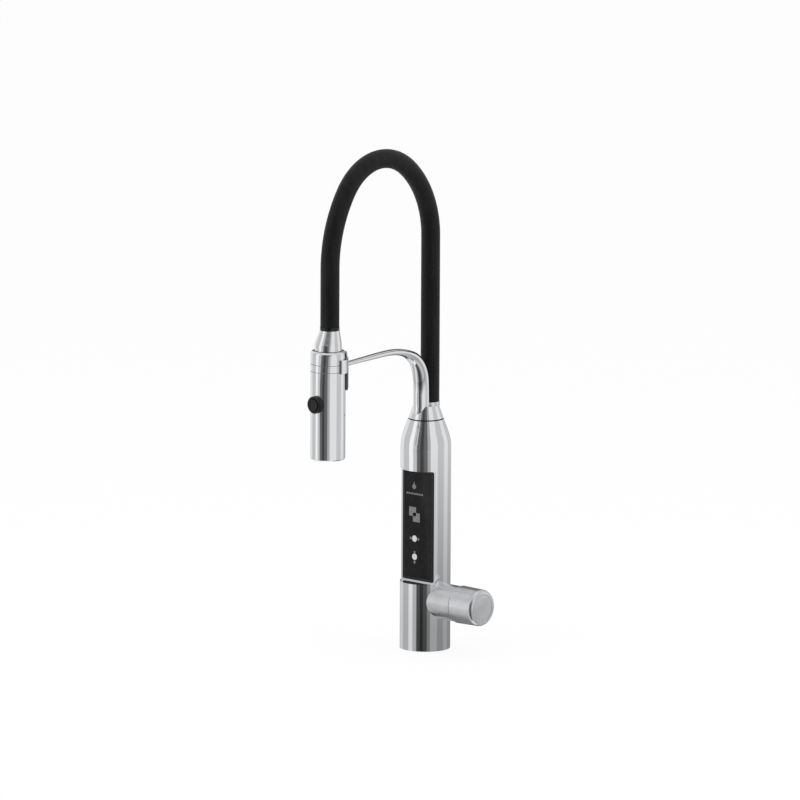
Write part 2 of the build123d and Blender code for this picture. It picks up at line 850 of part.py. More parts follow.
def handle_knob():
    back = boss_end + knob_gap
    lip = math.sqrt(knob_ball ** 2 - (back - pivot_distance) ** 2)
    front = knob_end - knob_edge
    shift = knob_edge * math.sqrt(0.5)
    flat = knob_front_radius - knob_edge
    face_in = knob_end - knob_face
    seat = knob_end - knob_cap_thickness
    stem_end = hub_start + stem_depth
    bore = stem_radius + fit_gap
    outline = Polyline((lip, back), (knob_back_radius, back), (knob_front_radius, front))
    outline += ThreePointArc((knob_front_radius, front), (flat + shift, front + shift), (flat, knob_end))
    outline += Polyline((flat, knob_end), (knob_cap_radius, knob_end), (knob_cap_radius, seat), (0, seat),
                        (0, stem_end), (bore, stem_end), (bore, hub_start), (hub_radius, hub_start),
                        (hub_radius, face_in), (lip - knob_edge / 2, face_in),
                        (lip, face_in - knob_edge / 2), (lip, back))
    knob = sideways(revolve(Plane.XZ * make_face(outline), Axis.Z))
    return knob - grub_at(grub_radius, 2 * knob_front_radius)


def grub_at(radius, length):
    screw = Rot(180, 0, 0) * rod(radius, stem_radius, length)
    return Pos(hub_start + grub_place, 0, handle_height) * screw


def knob_grub_screw():
    return grub_at(grub_radius - seat_gap, hub_radius)


def knob_cap():
    low = knob_end - knob_cap_thickness
    return sideways(rod(knob_cap_radius - fit_gap, low, knob_end))


def cartridge_stem():
    """Lever with a ball at the pivot: its outer end holds the knob, its inner tip moves the disc."""
    outer = rod(stem_radius, pivot_distance, hub_start + stem_depth)
    inner = rod(lever_radius, pivot_distance - lever_length, pivot_distance)
    stem = outer + inner + Pos(0, 0, pivot_distance) * Sphere(ball_radius)
    stem += Pos(0, 0, pivot_distance - lever_length) * Sphere(lever_tip)
    return sideways(stem) - stem_pin_at(pin_radius + fit_gap)


def stem_pin_at(radius):
    length = cavity_radius - air_gap
    pin = Rot(90, 0, 0) * rod(radius, -length, length)
    return Pos(pivot_distance, 0, handle_height) * pin


def stem_pin():
    return stem_pin_at(pin_radius) & sideways(rod(cavity_radius - air_gap, 0, 2 * pivot_distance))


def cartridge_carrier():
    """Turning sleeve that holds the lever's pin and turns the moving disc."""
    high = cartridge_front - cartridge_lip - air_gap
    sleeve = sideways(tube(cavity_radius - air_gap, carrier_inner, disc_top, high))
    return sleeve - stem_pin_at(pin_radius)


def disc_ports(low, high):
    return ring_of(rod(port_radius, low - past, high + past), port_circle, 3)


def ceramic_disc_fixed():
    low = cartridge_back + cartridge_base
    disc = rod(cavity_radius - seat_gap, low, low + disc_thickness)
    return sideways(disc - disc_ports(low, low + disc_thickness))


def ceramic_disc_moving():
    low = disc_top - disc_thickness
    disc = rod(cavity_radius - air_gap, low, disc_top)
    return sideways(disc - tube(port_circle + port_radius, port_radius, low - past, low + disc_thickness / 2))


def cartridge_housing():
    floor = cartridge_back + cartridge_base
    lip = cartridge_front - cartridge_lip
    shell = lathe((0, cartridge_back), (cartridge_radius, cartridge_back), (cartridge_radius, cartridge_front),
                  (cartridge_mouth, cartridge_front), (cartridge_mouth, lip), (cavity_radius, lip),
                  (cavity_radius, floor), (0, floor))
    return sideways(shell - disc_ports(cartridge_back, floor))


def cartridge_nut():
    outer = boss_radius - boss_wall - seat_gap
    return sideways(tube(outer, cartridge_mouth, cartridge_front, cartridge_front + cartridge_nut_length))


# Base and worktop fixing

def base_seal():
    return tube(inner_radius - seat_gap, shank_radius + seal_gap, 0, seal_thickness)


def base_insert():
    return tube(inner_radius, shank_radius, seal_thickness, insert_top)


def mounting_shank():
    wide = inlet_circle + inlet_outer + 2 * air_gap
    step = inlet_bottom - air_gap
    return lathe((shank_bore, -shank_length), (shank_radius, -shank_length), (shank_radius, insert_top),
                 (wide, insert_top), (wide, step), (shank_bore, step))


def washer_stack():
    """Heights of the worktop's underside and of the pieces below it."""
    rubber = -worktop_thickness - rubber_washer_thickness
    steel = rubber - steel_washer_thickness
    return rubber, steel, steel - nut_thickness


def rubber_washer():
    return tube(washer_radius, shank_radius + washer_gap, washer_stack()[0], -worktop_thickness)


def steel_washer():
    rubber, steel, nut = washer_stack()
    return tube(washer_radius, shank_radius + washer_gap, steel, rubber)


def mounting_nut():
    rubber, steel, nut = washer_stack()
    hexagon = Plane((0, 0, nut)) * RegularPolygon(nut_across_flats / 2, 6, major_radius=False)
    return extrude(hexagon, amount=nut_thickness) - rod(shank_radius, nut - past, steel + past)


# One file for each piece

def solids_of(piece):
    if isinstance(piece, (list, tuple)):
        return [solid for one in piece for solid in solids_of(one)]
    return list(piece.solids())


pieces = (
    column_body, handle_boss,
    panel_frame, panel_gasket, panel_glass, touch_board, light_guides, panel_back_cover,
    mixing_block, inlet_sockets, mixed_water_pipe, filtered_water_pipe,
    swivel_core, swivel_seals, swivel_bush, swivel_collar, collar_clip,
    hose_sleeve, hose_inner_tube, hose_lower_ferrule, hose_upper_ferrule, hose_tail,
    neck_nipple, neck_seal, head_neck, head_cap, head_ring, head_shell, head_liner,
    diverter_body, diverter_spool, spool_membrane, button_bezel, spray_button,
    spray_face, spray_nozzles, aerator_insert, docking_arm, dock_cradle, dock_magnet,
    handle_dome, handle_knob, knob_grub_screw, knob_cap, cartridge_stem, stem_pin, cartridge_carrier,
    ceramic_disc_fixed, ceramic_disc_moving, cartridge_housing, cartridge_nut,
    base_seal, base_insert, mounting_shank, rubber_washer, steel_washer, mounting_nut,
)

for piece in pieces:
    solids = solids_of(piece())
    shape = solids[0] if len(solids) == 1 else Compound(solids)
    export_step(shape, f"parts/{piece.__name__}.step")
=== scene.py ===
# Filtered water kitchen tap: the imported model, dressed and lit for the photograph's view.
import json
import math
import bpy
from mathutils import Matrix, Vector


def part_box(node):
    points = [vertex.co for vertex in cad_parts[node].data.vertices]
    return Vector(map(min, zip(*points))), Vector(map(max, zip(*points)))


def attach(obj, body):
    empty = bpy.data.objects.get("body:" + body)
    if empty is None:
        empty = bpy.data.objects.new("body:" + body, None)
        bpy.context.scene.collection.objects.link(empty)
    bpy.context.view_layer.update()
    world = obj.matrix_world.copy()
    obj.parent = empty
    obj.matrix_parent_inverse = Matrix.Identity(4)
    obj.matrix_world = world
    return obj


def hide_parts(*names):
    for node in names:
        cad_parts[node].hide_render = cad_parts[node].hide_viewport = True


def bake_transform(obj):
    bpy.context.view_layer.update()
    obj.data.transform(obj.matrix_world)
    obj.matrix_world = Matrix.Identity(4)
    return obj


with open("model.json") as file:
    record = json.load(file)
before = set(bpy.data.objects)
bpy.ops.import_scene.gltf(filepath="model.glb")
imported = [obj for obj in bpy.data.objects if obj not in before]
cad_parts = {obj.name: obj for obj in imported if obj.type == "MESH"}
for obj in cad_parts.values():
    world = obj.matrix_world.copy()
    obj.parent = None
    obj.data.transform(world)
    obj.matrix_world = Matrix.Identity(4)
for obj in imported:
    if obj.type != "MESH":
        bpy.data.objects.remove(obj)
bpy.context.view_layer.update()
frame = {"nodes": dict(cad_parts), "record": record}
mm = 0.001


def boxInMm(node):
    low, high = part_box(node)
    return Vector(low) / mm, Vector(high) / mm


# finishes, each named for the real material

def toLinear(hexColour):
    # undoes the curve that screens put on light
    values = [int(hexColour[i:i + 2], 16) / 255 for i in (1, 3, 5)]
    return [v / 12.92 if v <= 0.04045 else ((v + 0.055) / 1.055) ** 2.4 for v in values] + [1.0]


def addNode(tree, kind, settings=None, links=None, stops=None, into=None):
    # kind is the node's type without its prefix, stops are the places and shades of a colour ramp,
    # and into is the socket that the node feeds
    node = tree.nodes.new("ShaderNode" + kind)
    for key, value in (settings or {}).items():
        if isinstance(key, int) or key in node.inputs:
            node.inputs[key].default_value = value
        else:
            setattr(node, key, value)
    for key, source in (links or {}).items():
        # a node given as the source stands for its first socket
        socket = source.outputs[0] if isinstance(source, bpy.types.Node) else source
        tree.links.new(socket, node.inputs[key])
    if stops:
        while len(node.color_ramp.elements) < len(stops):
            node.color_ramp.elements.new(1.0)
        for element, (place, shade) in zip(node.color_ramp.elements, stops):
            element.position = place
            element.color = toLinear(shade) if isinstance(shade, str) else (shade, shade, shade, 1)
    if into:
        tree.links.new(node.outputs[0], into)
    return node


def newMaterial(name, colour, roughness, metallic=0.0, **sockets):
    material = bpy.data.materials.new(name)
    material.use_nodes = True
    shader = material.node_tree.nodes["Principled BSDF"]
    shader.inputs["Base Color"].default_value = toLinear(colour)
    shader.inputs["Roughness"].default_value = roughness
    shader.inputs["Metallic"].default_value = metallic
    for key, value in sockets.items():
        shader.inputs[key.replace("_", " ")].default_value = value
    return material, material.node_tree, shader


def inMillimetres(tree, stretch=(1, 1, 1)):
    place = addNode(tree, "TexCoord")
    return addNode(tree, "Mapping", {"Scale": [1000 * s for s in stretch]},
                   {"Vector": place.outputs["Object"]})


def chromePlate():
    # bright chrome over polished brass: a clean mirror, with wipe marks that only dull it a little
    material, tree, shader = newMaterial("chromePlate", "#E8E9EB", 0.03, 1.0)
    wipes = addNode(tree, "TexNoise", {"Scale": 1 / 14, "Detail": 3.0},
                    {"Vector": inMillimetres(tree, (1, 1, 0.4))})
    addNode(tree, "MapRange", {"To Min": 0.015, "To Max": 0.045}, {"Value": wipes},
            into=shader.inputs["Roughness"])
    return material


def satinChrome():
    # chrome over a fine-blasted casting: paler, with soft reflections and drifting handling marks
    material, tree, shader = newMaterial("satinChrome", "#D8D9DB", 0.27, 1.0)
    place = inMillimetres(tree)
    marks = addNode(tree, "TexNoise", {"Scale": 1 / 9, "Detail": 2.0}, {"Vector": place})
    addNode(tree, "MapRange", {"To Min": 0.22, "To Max": 0.33}, {"Value": marks},
            into=shader.inputs["Roughness"])
    tones = addNode(tree, "TexNoise", {"Scale": 1 / 12, "Detail": 2.0}, {"Vector": place})
    addNode(tree, "ValToRGB", links={"Fac": tones}, stops=((0.3, "#D2D3D5"), (0.75, "#DDDEE0")),
            into=shader.inputs["Base Color"])
    return material


def darkNickel():
    # black nickel on a crimped ring: dark grey metal with a soft shine
    material, tree, shader = newMaterial("darkNickel", "#3C3D3F", 0.28, 1.0)
    place = inMillimetres(tree)
    tones = addNode(tree, "TexNoise", {"Scale": 1 / 2, "Detail": 4.0}, {"Vector": place})
    addNode(tree, "ValToRGB", links={"Fac": tones}, stops=((0.3, "#333436"), (0.75, "#47484A")),
            into=shader.inputs["Base Color"])
    rubbed = addNode(tree, "TexNoise", {"Scale": 1 / 3, "Detail": 3.0}, {"Vector": place})
    addNode(tree, "MapRange", {"To Min": 0.22, "To Max": 0.36}, {"Value": rubbed},
            into=shader.inputs["Roughness"])
    return material


def blackGlass():
    # tempered glass printed black behind: deep black with a sharp gloss and a haze of finger marks
    material, tree, shader = newMaterial("blackGlass", "#0B0B0C", 0.07, IOR=1.52, Specular_IOR_Level=0.2)
    place = inMillimetres(tree)
    fingers = addNode(tree, "TexNoise", {"Scale": 1 / 9, "Detail": 3.0}, {"Vector": place})
    addNode(tree, "MapRange", {"To Min": 0.05, "To Max": 0.16}, {"Value": fingers},
            into=shader.inputs["Roughness"])
    haze = addNode(tree, "TexNoise", {"Scale": 1 / 6, "Detail": 5.0}, {"Vector": place})
    addNode(tree, "ValToRGB", links={"Fac": haze}, stops=((0.35, "#08080A"), (0.7, "#161617")),
            into=shader.inputs["Base Color"])
    return material


def glossyAbs():
    # moulded black ABS, high gloss, with a slight ripple of the mould in its shine
    material, tree, shader = newMaterial("glossyAbs", "#0D0D0E", 0.2, IOR=1.54, Specular_IOR_Level=0.3)
    place = inMillimetres(tree)
    dulled = addNode(tree, "TexNoise", {"Scale": 1 / 5, "Detail": 3.0}, {"Vector": place})
    addNode(tree, "MapRange", {"To Min": 0.16, "To Max": 0.28}, {"Value": dulled},
            into=shader.inputs["Roughness"])
    ripple = addNode(tree, "TexNoise", {"Scale": 1 / 8, "Detail": 1.0}, {"Vector": place})
    addNode(tree, "Bump", {"Distance": 0.02 * mm}, {"Height": ripple},
            into=shader.inputs["Normal"])
    return material


def mattAbs():
    # moulded black ABS with a fine spark-eroded grain, 0.4 mm apart
    material, tree, shader = newMaterial("mattAbs", "#0E0E0F", 0.42, IOR=1.54, Specular_IOR_Level=0.35)
    place = inMillimetres(tree)
    grain = addNode(tree, "TexNoise", {"Scale": 1 / 0.4, "Detail": 2.0}, {"Vector": place})
    addNode(tree, "Bump", {"Distance": 0.02 * mm}, {"Height": grain},
            into=shader.inputs["Normal"])
    touched = addNode(tree, "TexNoise", {"Scale": 1 / 3, "Detail": 3.0}, {"Vector": place})
    addNode(tree, "MapRange", {"To Min": 0.36, "To Max": 0.5}, {"Value": touched},
            into=shader.inputs["Roughness"])
    return material


def blackRubber():
    # moulded EPDM: dull, almost no shine, a little bloom in patches
    material, tree, shader = newMaterial("blackRubber", "#161616", 0.75)
    place = inMillimetres(tree)
    bloom = addNode(tree, "TexNoise", {"Scale": 1 / 4, "Detail": 4.0}, {"Vector": place})
    addNode(tree, "ValToRGB", links={"Fac": bloom}, stops=((0.3, "#101010"), (0.75, "#202021")),
            into=shader.inputs["Base Color"])
    skin = addNode(tree, "TexNoise", {"Scale": 1 / 0.5, "Detail": 2.0}, {"Vector": place})
    addNode(tree, "Bump", {"Distance": 0.03 * mm}, {"Height": skin},
            into=shader.inputs["Normal"])
    return material


def turnedBrass():
    # free-cutting brass as it leaves the lathe: warm yellow, with the tool's rings 0.3 mm apart
    material, tree, shader = newMaterial("turnedBrass", "#D6B56A", 0.26, 1.0)
    place = inMillimetres(tree)
    tarnish = addNode(tree, "TexNoise", {"Scale": 1 / 7, "Detail": 4.0}, {"Vector": place})
    addNode(tree, "ValToRGB", links={"Fac": tarnish}, stops=((0.3, "#C9A457"), (0.7, "#DDBE78")),
            into=shader.inputs["Base Color"])
    rings = addNode(tree, "TexWave", {"bands_direction": "Z", "Scale": 1 / (2 * math.pi * 0.3),
                    "Distortion": 0.4}, {"Vector": place})
    addNode(tree, "Bump", {"Distance": 0.01 * mm}, {"Height": rings.outputs["Fac"]},
            into=shader.inputs["Normal"])
    return material


def drawnCopper():
    # drawn copper tube: pink-brown, lightly tarnished along its length
    material, tree, shader = newMaterial("drawnCopper", "#C98A6B", 0.3, 1.0)
    place = inMillimetres(tree, (1, 1, 0.1))
    tarnish = addNode(tree, "TexNoise", {"Scale": 1 / 3, "Detail": 4.0}, {"Vector": place})
    addNode(tree, "ValToRGB", links={"Fac": tarnish}, stops=((0.3, "#B5745A"), (0.7, "#D79A7A")),
            into=shader.inputs["Base Color"])
    addNode(tree, "MapRange", {"To Min": 0.38, "To Max": 0.24}, {"Value": tarnish},
            into=shader.inputs["Roughness"])
    return material


def tumbledSteel():
    # stamped stainless steel, tumbled: grey, with soft highlights and short random scratches
    material, tree, shader = newMaterial("tumbledSteel", "#B9BBBD", 0.3, 1.0)
    scratches = addNode(tree, "TexNoise", {"Scale": 1 / 0.5, "Detail": 4.0},
                        {"Vector": inMillimetres(tree, (1, 0.08, 1))})
    addNode(tree, "MapRange", {"To Min": 0.22, "To Max": 0.42}, {"Value": scratches},
            into=shader.inputs["Roughness"])
    return material


def whiteAcetal():
    # machined acetal: milky white, with a soft sheen
    material, tree, shader = newMaterial("whiteAcetal", "#E6E4DD", 0.38, IOR=1.48)
    cuts = addNode(tree, "TexNoise", {"Scale": 1 / 3, "Detail": 3.0}, {"Vector": inMillimetres(tree)})
    addNode(tree, "MapRange", {"To Min": 0.32, "To Max": 0.46}, {"Value": cuts},
            into=shader.inputs["Roughness"])
    return material


def clearAcrylic():
    # moulded acrylic light guide: clear, slightly frosted
    material, tree, shader = newMaterial("clearAcrylic", "#F2F4F5", 0.15, Transmission_Weight=1.0, IOR=1.49)
    frost = addNode(tree, "TexNoise", {"Scale": 1.0, "Detail": 3.0}, {"Vector": inMillimetres(tree)})
    addNode(tree, "MapRange", {"To Min": 0.1, "To Max": 0.25}, {"Value": frost},
            into=shader.inputs["Roughness"])
    return material


def circuitBoard():
    # glass-epoxy board under green solder mask, its copper tracks showing as paler lines 1.2 mm apart
    material, tree, shader = newMaterial("circuitBoard", "#1C4A30", 0.35, IOR=1.5)
    addNode(tree, "TexBrick", {"Scale": 1.0, "Brick Width": 6.0, "Row Height": 1.2, "Mortar Size": 0.12,
            "Color1": toLinear("#1A452C"), "Color2": toLinear("#1E4E33"), "Mortar": toLinear("#3C7A50")},
            {"Vector": inMillimetres(tree)}, into=shader.inputs["Base Color"])
    return material


def aluminaCeramic():
    # lapped alumina: off-white, smooth, with a hard gloss
    material, tree, shader = newMaterial("aluminaCeramic", "#E9E5DA", 0.14, IOR=1.76)
    lapping = addNode(tree, "TexNoise", {"Scale": 1 / 2, "Detail": 3.0}, {"Vector": inMillimetres(tree)})
    addNode(tree, "MapRange", {"To Min": 0.1, "To Max": 0.2}, {"Value": lapping},
            into=shader.inputs["Roughness"])
    return material


braid = dict(crossing=1.25, strands=48, relief=0.22)   # mm along the hose for one crossing, strands round it


def nylonBraid():
    # black nylon monofilament braided over silicone: dark diamonds, with painted shade in the hollows between
    # strands and a painted highlight on each strand's crest
    material, tree, shader = newMaterial("nylonBraid", "#101011", 0.5, Specular_IOR_Level=0.25,
                                         Sheen_Weight=0.12, Sheen_Roughness=0.25)
    place = addNode(tree, "TexCoord")
    spread = addNode(tree, "SeparateXYZ", links={0: place.outputs["UV"]})
    # u is metres along the hose and v runs 0 to 1 round it, so both turn into counts of strands
    along = addNode(tree, "Math", {"operation": "MULTIPLY", 1: 0.5 / (braid["crossing"] * mm)},
                    {0: spread.outputs["X"]})
    around = addNode(tree, "Math", {"operation": "MULTIPLY", 1: braid["strands"] / 2},
                     {0: spread.outputs["Y"]})
    waves = []
    for way in ("ADD", "SUBTRACT"):
        slant = addNode(tree, "Math", {"operation": way}, {0: along, 1: around})
        turn = addNode(tree, "Math", {"operation": "MULTIPLY", 1: 2 * math.pi}, {0: slant})
        waves.append(addNode(tree, "Math", {"operation": "SINE"}, {0: turn}))
    weave = addNode(tree, "Math", {"operation": "MULTIPLY"}, {0: waves[0], 1: waves[1]})
    height = addNode(tree, "MapRange", {"From Min": -1.0}, {"Value": weave})
    # painted shade and highlight: the hollows between strands are darker and the crests paler, more so in
    # streaks along the hose
    streaks = addNode(tree, "TexNoise", {"Scale": 1 / 6, "Detail": 3.0},
                   {"Vector": inMillimetres(tree, (1, 1, 0.15))})
    paintedWeaveLight = addNode(tree, "Math", {"operation": "MULTIPLY_ADD", 2: -0.12},
                   {0: streaks, 1: height})
    # painted shade and highlight: near black in the hollows, pale grey on the crests
    addNode(tree, "ValToRGB", links={"Fac": paintedWeaveLight}, into=shader.inputs["Base Color"],
            stops=((0.0, "#040405"), (0.2, "#0C0C0D"), (0.5, "#222224")))
    addNode(tree, "Bump", {"Distance": braid["relief"] * mm}, {"Height": height},
            into=shader.inputs["Normal"])
    addNode(tree, "MapRange", {"To Min": 0.6, "To Max": 0.38}, {"Value": height},
            into=shader.inputs["Roughness"])
    return material


def litWindow(name, colour, glow):
    # a lamp behind a printed window in the glass: even, with a slight haze
    material, tree, shader = newMaterial(name, colour, 0.4, Emission_Strength=glow)
    shader.inputs["Emission Color"].default_value = toLinear(colour)
    haze = addNode(tree, "TexNoise", {"Scale": 1.0, "Detail": 3.0}, {"Vector": inMillimetres(tree)})
    addNode(tree, "MapRange", {"To Min": 0.35, "To Max": 0.5}, {"Value": haze},
            into=shader.inputs["Roughness"])
    return material


finish = dict(chrome=chromePlate(), dark_metal=darkNickel(), brass=turnedBrass(), copper=drawnCopper(),
              steel=tumbledSteel(), black_plastic=mattAbs(), frame_plastic=glossyAbs(),
              white_plastic=whiteAcetal(), board=circuitBoard(), clear_plastic=clearAcrylic(),
              ceramic=aluminaCeramic(), panel_glass=blackGlass(), black_rubber=blackRubber(),
              black_braid=nylonBraid())
satin = satinChrome()
satinNodes = ("handle_boss", "handle_dome", "handle_knob")
lamps = dict(bright=litWindow("lampBright", "#BCBEC0", 0.1), dim=litWindow("lampDim", "#6E6D6A", 0.04))

for part in frame["record"]["subparts"]:
    node = frame["nodes"].get(part["node"])
    if node:
        node.data.materials.clear()
        node.data.materials.append(satin if part["node"] in satinNodes else finish[part["material_slot"]])
print("finishes on", len(frame["nodes"]), "packed nodes")


# the camera stands where the photograph was taken, so far off that upright lines stay upright

view = dict(azimuth=42.0, elevation=10.9, roll=0.275, distance=25.0, clipEnd=100, perPixel=1.03 * mm,
            baseAt=(424.9, 647.1), picture=800, sensor=36.0)    # baseAt is the pixel of the column's foot


def addCamera():
    az, el, roll = (math.radians(view[key]) for key in ("azimuth", "elevation", "roll"))
    back = Vector((math.sin(az) * math.cos(el), -math.cos(az) * math.cos(el), math.sin(el)))
    right = Vector((math.cos(az), math.sin(az), 0))
    up = back.cross(right)
    turnedRight = right * math.cos(roll) + up * math.sin(roll)
    turnedUp = up * math.cos(roll) - right * math.sin(roll)
    middle = view["picture"] / 2
    target = turnedRight * (middle - view["baseAt"][0]) * view["perPixel"]
    target += turnedUp * (view["baseAt"][1] - middle) * view["perPixel"]
    camera = bpy.data.objects.new("camera", bpy.data.cameras.new("camera"))
    bpy.context.scene.collection.objects.link(camera)
    turn = Matrix((turnedRight, turnedUp, back)).transposed()
    camera.matrix_world = Matrix.Translation(target + back * view["distance"]) @ turn.to_4x4()
    camera.data.sensor_width = view["sensor"]
    camera.data.lens = view["sensor"] * view["distance"] / (view["perPixel"] * view["picture"])
    camera.data.clip_end = view["clipEnd"]
    bpy.context.scene.camera = camera
    return Vector((back.x, back.y, 0)).normalized(), right


towards, right = addCamera()
print("camera ready")


# the studio, in metres: a pale floor, soft lamps, and a round of paper cards that only shiny things see

studio = dict(wallRadius=3.0, wallHeight=16.0, floorSize=8.0, floorGrey="#F4F4F4", shadow=0.12, ambient=0.9,
              ceiling="#E0E1E3", ceilingFrom=(2.0, 3.0), footRadius=0.06, footFade=0.04, footDepth=0.008,
              paintedShadeGrey="#8A8B8D", lampsAimAt=0.25)

# each soft lamp: metres towards the camera, to its right and up, then its size and its watts
softLamps = (("leftBox", (1.2, -1.6, 0.9), (1.2, 2.0), 10), ("rightBox", (1.0, 1.7, 0.8), (1.0, 2.0), 7),
             ("topBox", (0.3, 0.0, 2.2), (1.6, 1.6), 6))

# plain paper in six greys, each card with the degrees to the right of the camera at which it starts
papers = dict(white="#EFEFEF", pale="#DCDCDC", light="#BEBEBE", grey="#A5A5A5", dark="#626262",
              black="#404040")
cards = (("dark", -180), ("pale", -166), ("light", -121), ("white", -82), ("light", -60), ("dark", -41),
         ("black", -25), ("dark", -10), ("grey", 8), ("pale", 22), ("light", 56), ("pale", 89),
         ("light", 120), ("dark", 166))
softEdge = 1.5    # degrees

# low down the cards fall into shade, less so on the left: height in metres, and the share of light lost
shade = ((-0.75, 0.3), (-0.64, 0.56), (-0.58, 0.56), (-0.5, 0.35), (-0.37, 0.0))
shadeOnLeft = dict(share=0.45, upTo=(-42, -36))

# beside the spray head the dark cards stand further left: how far, then at which heights and degrees
headShift = 13.0    # degrees
headLevels = ((-0.367, 0.0), (-0.357, 1.0), (-0.24, 1.0), (-0.2, 0.0))
headCards = ((-95, 0.0), (-60, 1.0), (8, 1.0), (45, 0.0))
lowBand = (-0.75, 0.05)    # heights that the shade and the moved cards fall within
fullTurn = {"From Min": -math.pi, "From Max": math.pi}


def cardStops():
    plate = toLinear("#E8E9EB")[0]    # the share of light that chrome mirrors; the cards make up for it
    stops = []
    for (paper, start), end in zip(cards, [start for paper, start in cards[1:]] + [180]):
        glow = toLinear(papers[paper])[0] / plate
        stops += [(degrees, glow) for degrees in (start + softEdge, end - softEdge)]
    return stops


def between(ends, stops):
    # the stops' places as shares of the way from one end to the other
    low, high = ends
    return [((place - low) / (high - low), value) for place, value in stops]


def emptyTree(owner):
    # the nodes of a material or a world, with none in it yet
    owner.use_nodes = True
    owner.node_tree.nodes.clear()
    return owner.node_tree


def addWall():
    bpy.ops.object.select_all(action="DESELECT")
    bpy.ops.mesh.primitive_cylinder_add(vertices=96, radius=studio["wallRadius"], depth=studio["wallHeight"],
                                        end_fill_type="NOTHING", location=(0, 0, 0))
    wall = bpy.context.object
    wall.name = "studioWall"
    bpy.ops.object.shade_smooth()
    paper = bpy.data.materials.new("studioCards")
    tree = emptyTree(paper)
    place = addNode(tree, "TexCoord")
    faced = addNode(tree, "Mapping", {"Rotation": (0, 0, -math.radians(view["azimuth"]))},
                    {"Vector": place.outputs["Object"]})
    axes = addNode(tree, "SeparateXYZ", links={0: faced})
    low, high = lowBand
    band = addNode(tree, "MapRange", {"From Min": low, "From Max": high}, {"Value": axes.outputs["Z"]})
    toFront = addNode(tree, "Math", {"operation": "MULTIPLY", 1: -1.0}, {0: axes.outputs["Y"]})
    angle = addNode(tree, "Math", {"operation": "ARCTAN2"}, {0: axes.outputs["X"], 1: toFront})
    # where the wall counts as further round than it is, the cards seem to stand further left
    level = addNode(tree, "ValToRGB", links={"Fac": band}, stops=between(lowBand, headLevels))
    whereRound = addNode(tree, "MapRange", fullTurn, {"Value": angle})
    group = addNode(tree, "ValToRGB", links={"Fac": whereRound},
                    stops=between((-180, 180), headCards))
    moved = addNode(tree, "Math", {"operation": "MULTIPLY"}, {0: level, 1: group})
    seenAt = addNode(tree, "Math", {"operation": "MULTIPLY_ADD", 1: math.radians(headShift)},
                     {0: moved, 2: angle})
    share = addNode(tree, "MapRange", fullTurn, {"Value": seenAt})
    pattern = addNode(tree, "ValToRGB", links={"Fac": share},
                      stops=between((-180, 180), cardStops()))
    shaded = addNode(tree, "ValToRGB", links={"Fac": band}, stops=between(lowBand, shade))
    start, end = (math.radians(degrees) for degrees in shadeOnLeft["upTo"])
    side = addNode(tree, "MapRange", {"From Min": start, "From Max": end, "To Min": shadeOnLeft["share"]},
                   {"Value": angle})
    lost = addNode(tree, "Math", {"operation": "MULTIPLY"}, {0: shaded, 1: side})
    left = addNode(tree, "Math", {"operation": "SUBTRACT", 0: 1.0}, {1: lost})
    glow = addNode(tree, "Emission", links={"Color": pattern, "Strength": left})
    ceiling = addNode(tree, "Emission", {"Color": toLinear(studio["ceiling"])})
    start, end = studio["ceilingFrom"]
    overhead = addNode(tree, "MapRange", {"From Min": start, "From Max": end}, {"Value": axes.outputs["Z"]})
    both = addNode(tree, "MixShader",
                   links={0: overhead, 1: glow, 2: ceiling})
    addNode(tree, "OutputMaterial", links={"Surface": both})
    wall.data.materials.append(paper)
    onlyMirrored(wall)


def onlyMirrored(thing):
    thing.visible_camera = thing.visible_diffuse = thing.visible_shadow = thing.visible_transmission = False


def addFoot():
    # a round of grey just below the floor, so that the knob doesn't mirror what is under the worktop; its
    # grey is painted shade, standing for the worktop in shade under the knob
    bpy.ops.object.select_all(action="DESELECT")
    bpy.ops.mesh.primitive_circle_add(vertices=64, radius=studio["footRadius"], fill_type="NGON",
                                      location=(0, 0, -studio["footDepth"]))
    foot = bpy.context.object
    foot.name = "mirroredFoot"
    grey = bpy.data.materials.new("paintedShadeGrey")
    tree = emptyTree(grey)
    # it thins out towards its rim, so that the column's foot mirrors no hard edge when seen from above
    place = addNode(tree, "TexCoord")
    reach = addNode(tree, "VectorMath", {"operation": "LENGTH"}, {0: place.outputs["Object"]})
    thin = addNode(tree, "MapRange", {"From Min": studio["footFade"], "From Max": studio["footRadius"]},
                   {"Value": reach.outputs["Value"]})
    # painted shade: the disc glows at the grey that a shaded worktop would show in the knob's underside
    glow = addNode(tree, "Emission", {"Color": toLinear(studio["paintedShadeGrey"])})
    clear = addNode(tree, "BsdfTransparent")
    both = addNode(tree, "MixShader", links={0: thin, 1: glow, 2: clear})
    addNode(tree, "OutputMaterial", links={"Surface": both})
    foot.data.materials.append(grey)
    onlyMirrored(foot)


def addLamp(name, place, size, strength):
    lamp = bpy.data.lights.new(name, "AREA")
    lamp.shape = "RECTANGLE"
    lamp.size, lamp.size_y = size
    lamp.energy = strength
    item = bpy.data.objects.new(name, lamp)
    bpy.context.scene.collection.objects.link(item)
    item.location = place
    aim = Vector((0, 0, studio["lampsAimAt"]))
    item.rotation_euler = (aim - place).to_track_quat("-Z", "Y").to_euler()
    item.visible_glossy = False


def addFloor():
    bpy.ops.object.select_all(action="DESELECT")
    bpy.ops.mesh.primitive_plane_add(size=studio["floorSize"], location=(0, 0, 0))
    floor = bpy.context.object
    floor.name = "floor"
    floor.visible_glossy = False    # the column stands so low that it would mirror nothing but the floor
    paper = bpy.data.materials.new("paper")
    tree = emptyTree(paper)
    rays = addNode(tree, "LightPath")
    white = addNode(tree, "Emission", {"Color": (1, 1, 1, 1), "Strength": 1.0})
    matt = addNode(tree, "BsdfDiffuse", {"Color": toLinear(studio["floorGrey"])})
    seen = addNode(tree, "MixShader", {0: studio["shadow"]}, {1: white, 2: matt})
    mix = addNode(tree, "MixShader",
                  links={0: rays.outputs["Is Camera Ray"], 1: matt, 2: seen})
    addNode(tree, "OutputMaterial", links={"Surface": mix})
    floor.data.materials.append(paper)


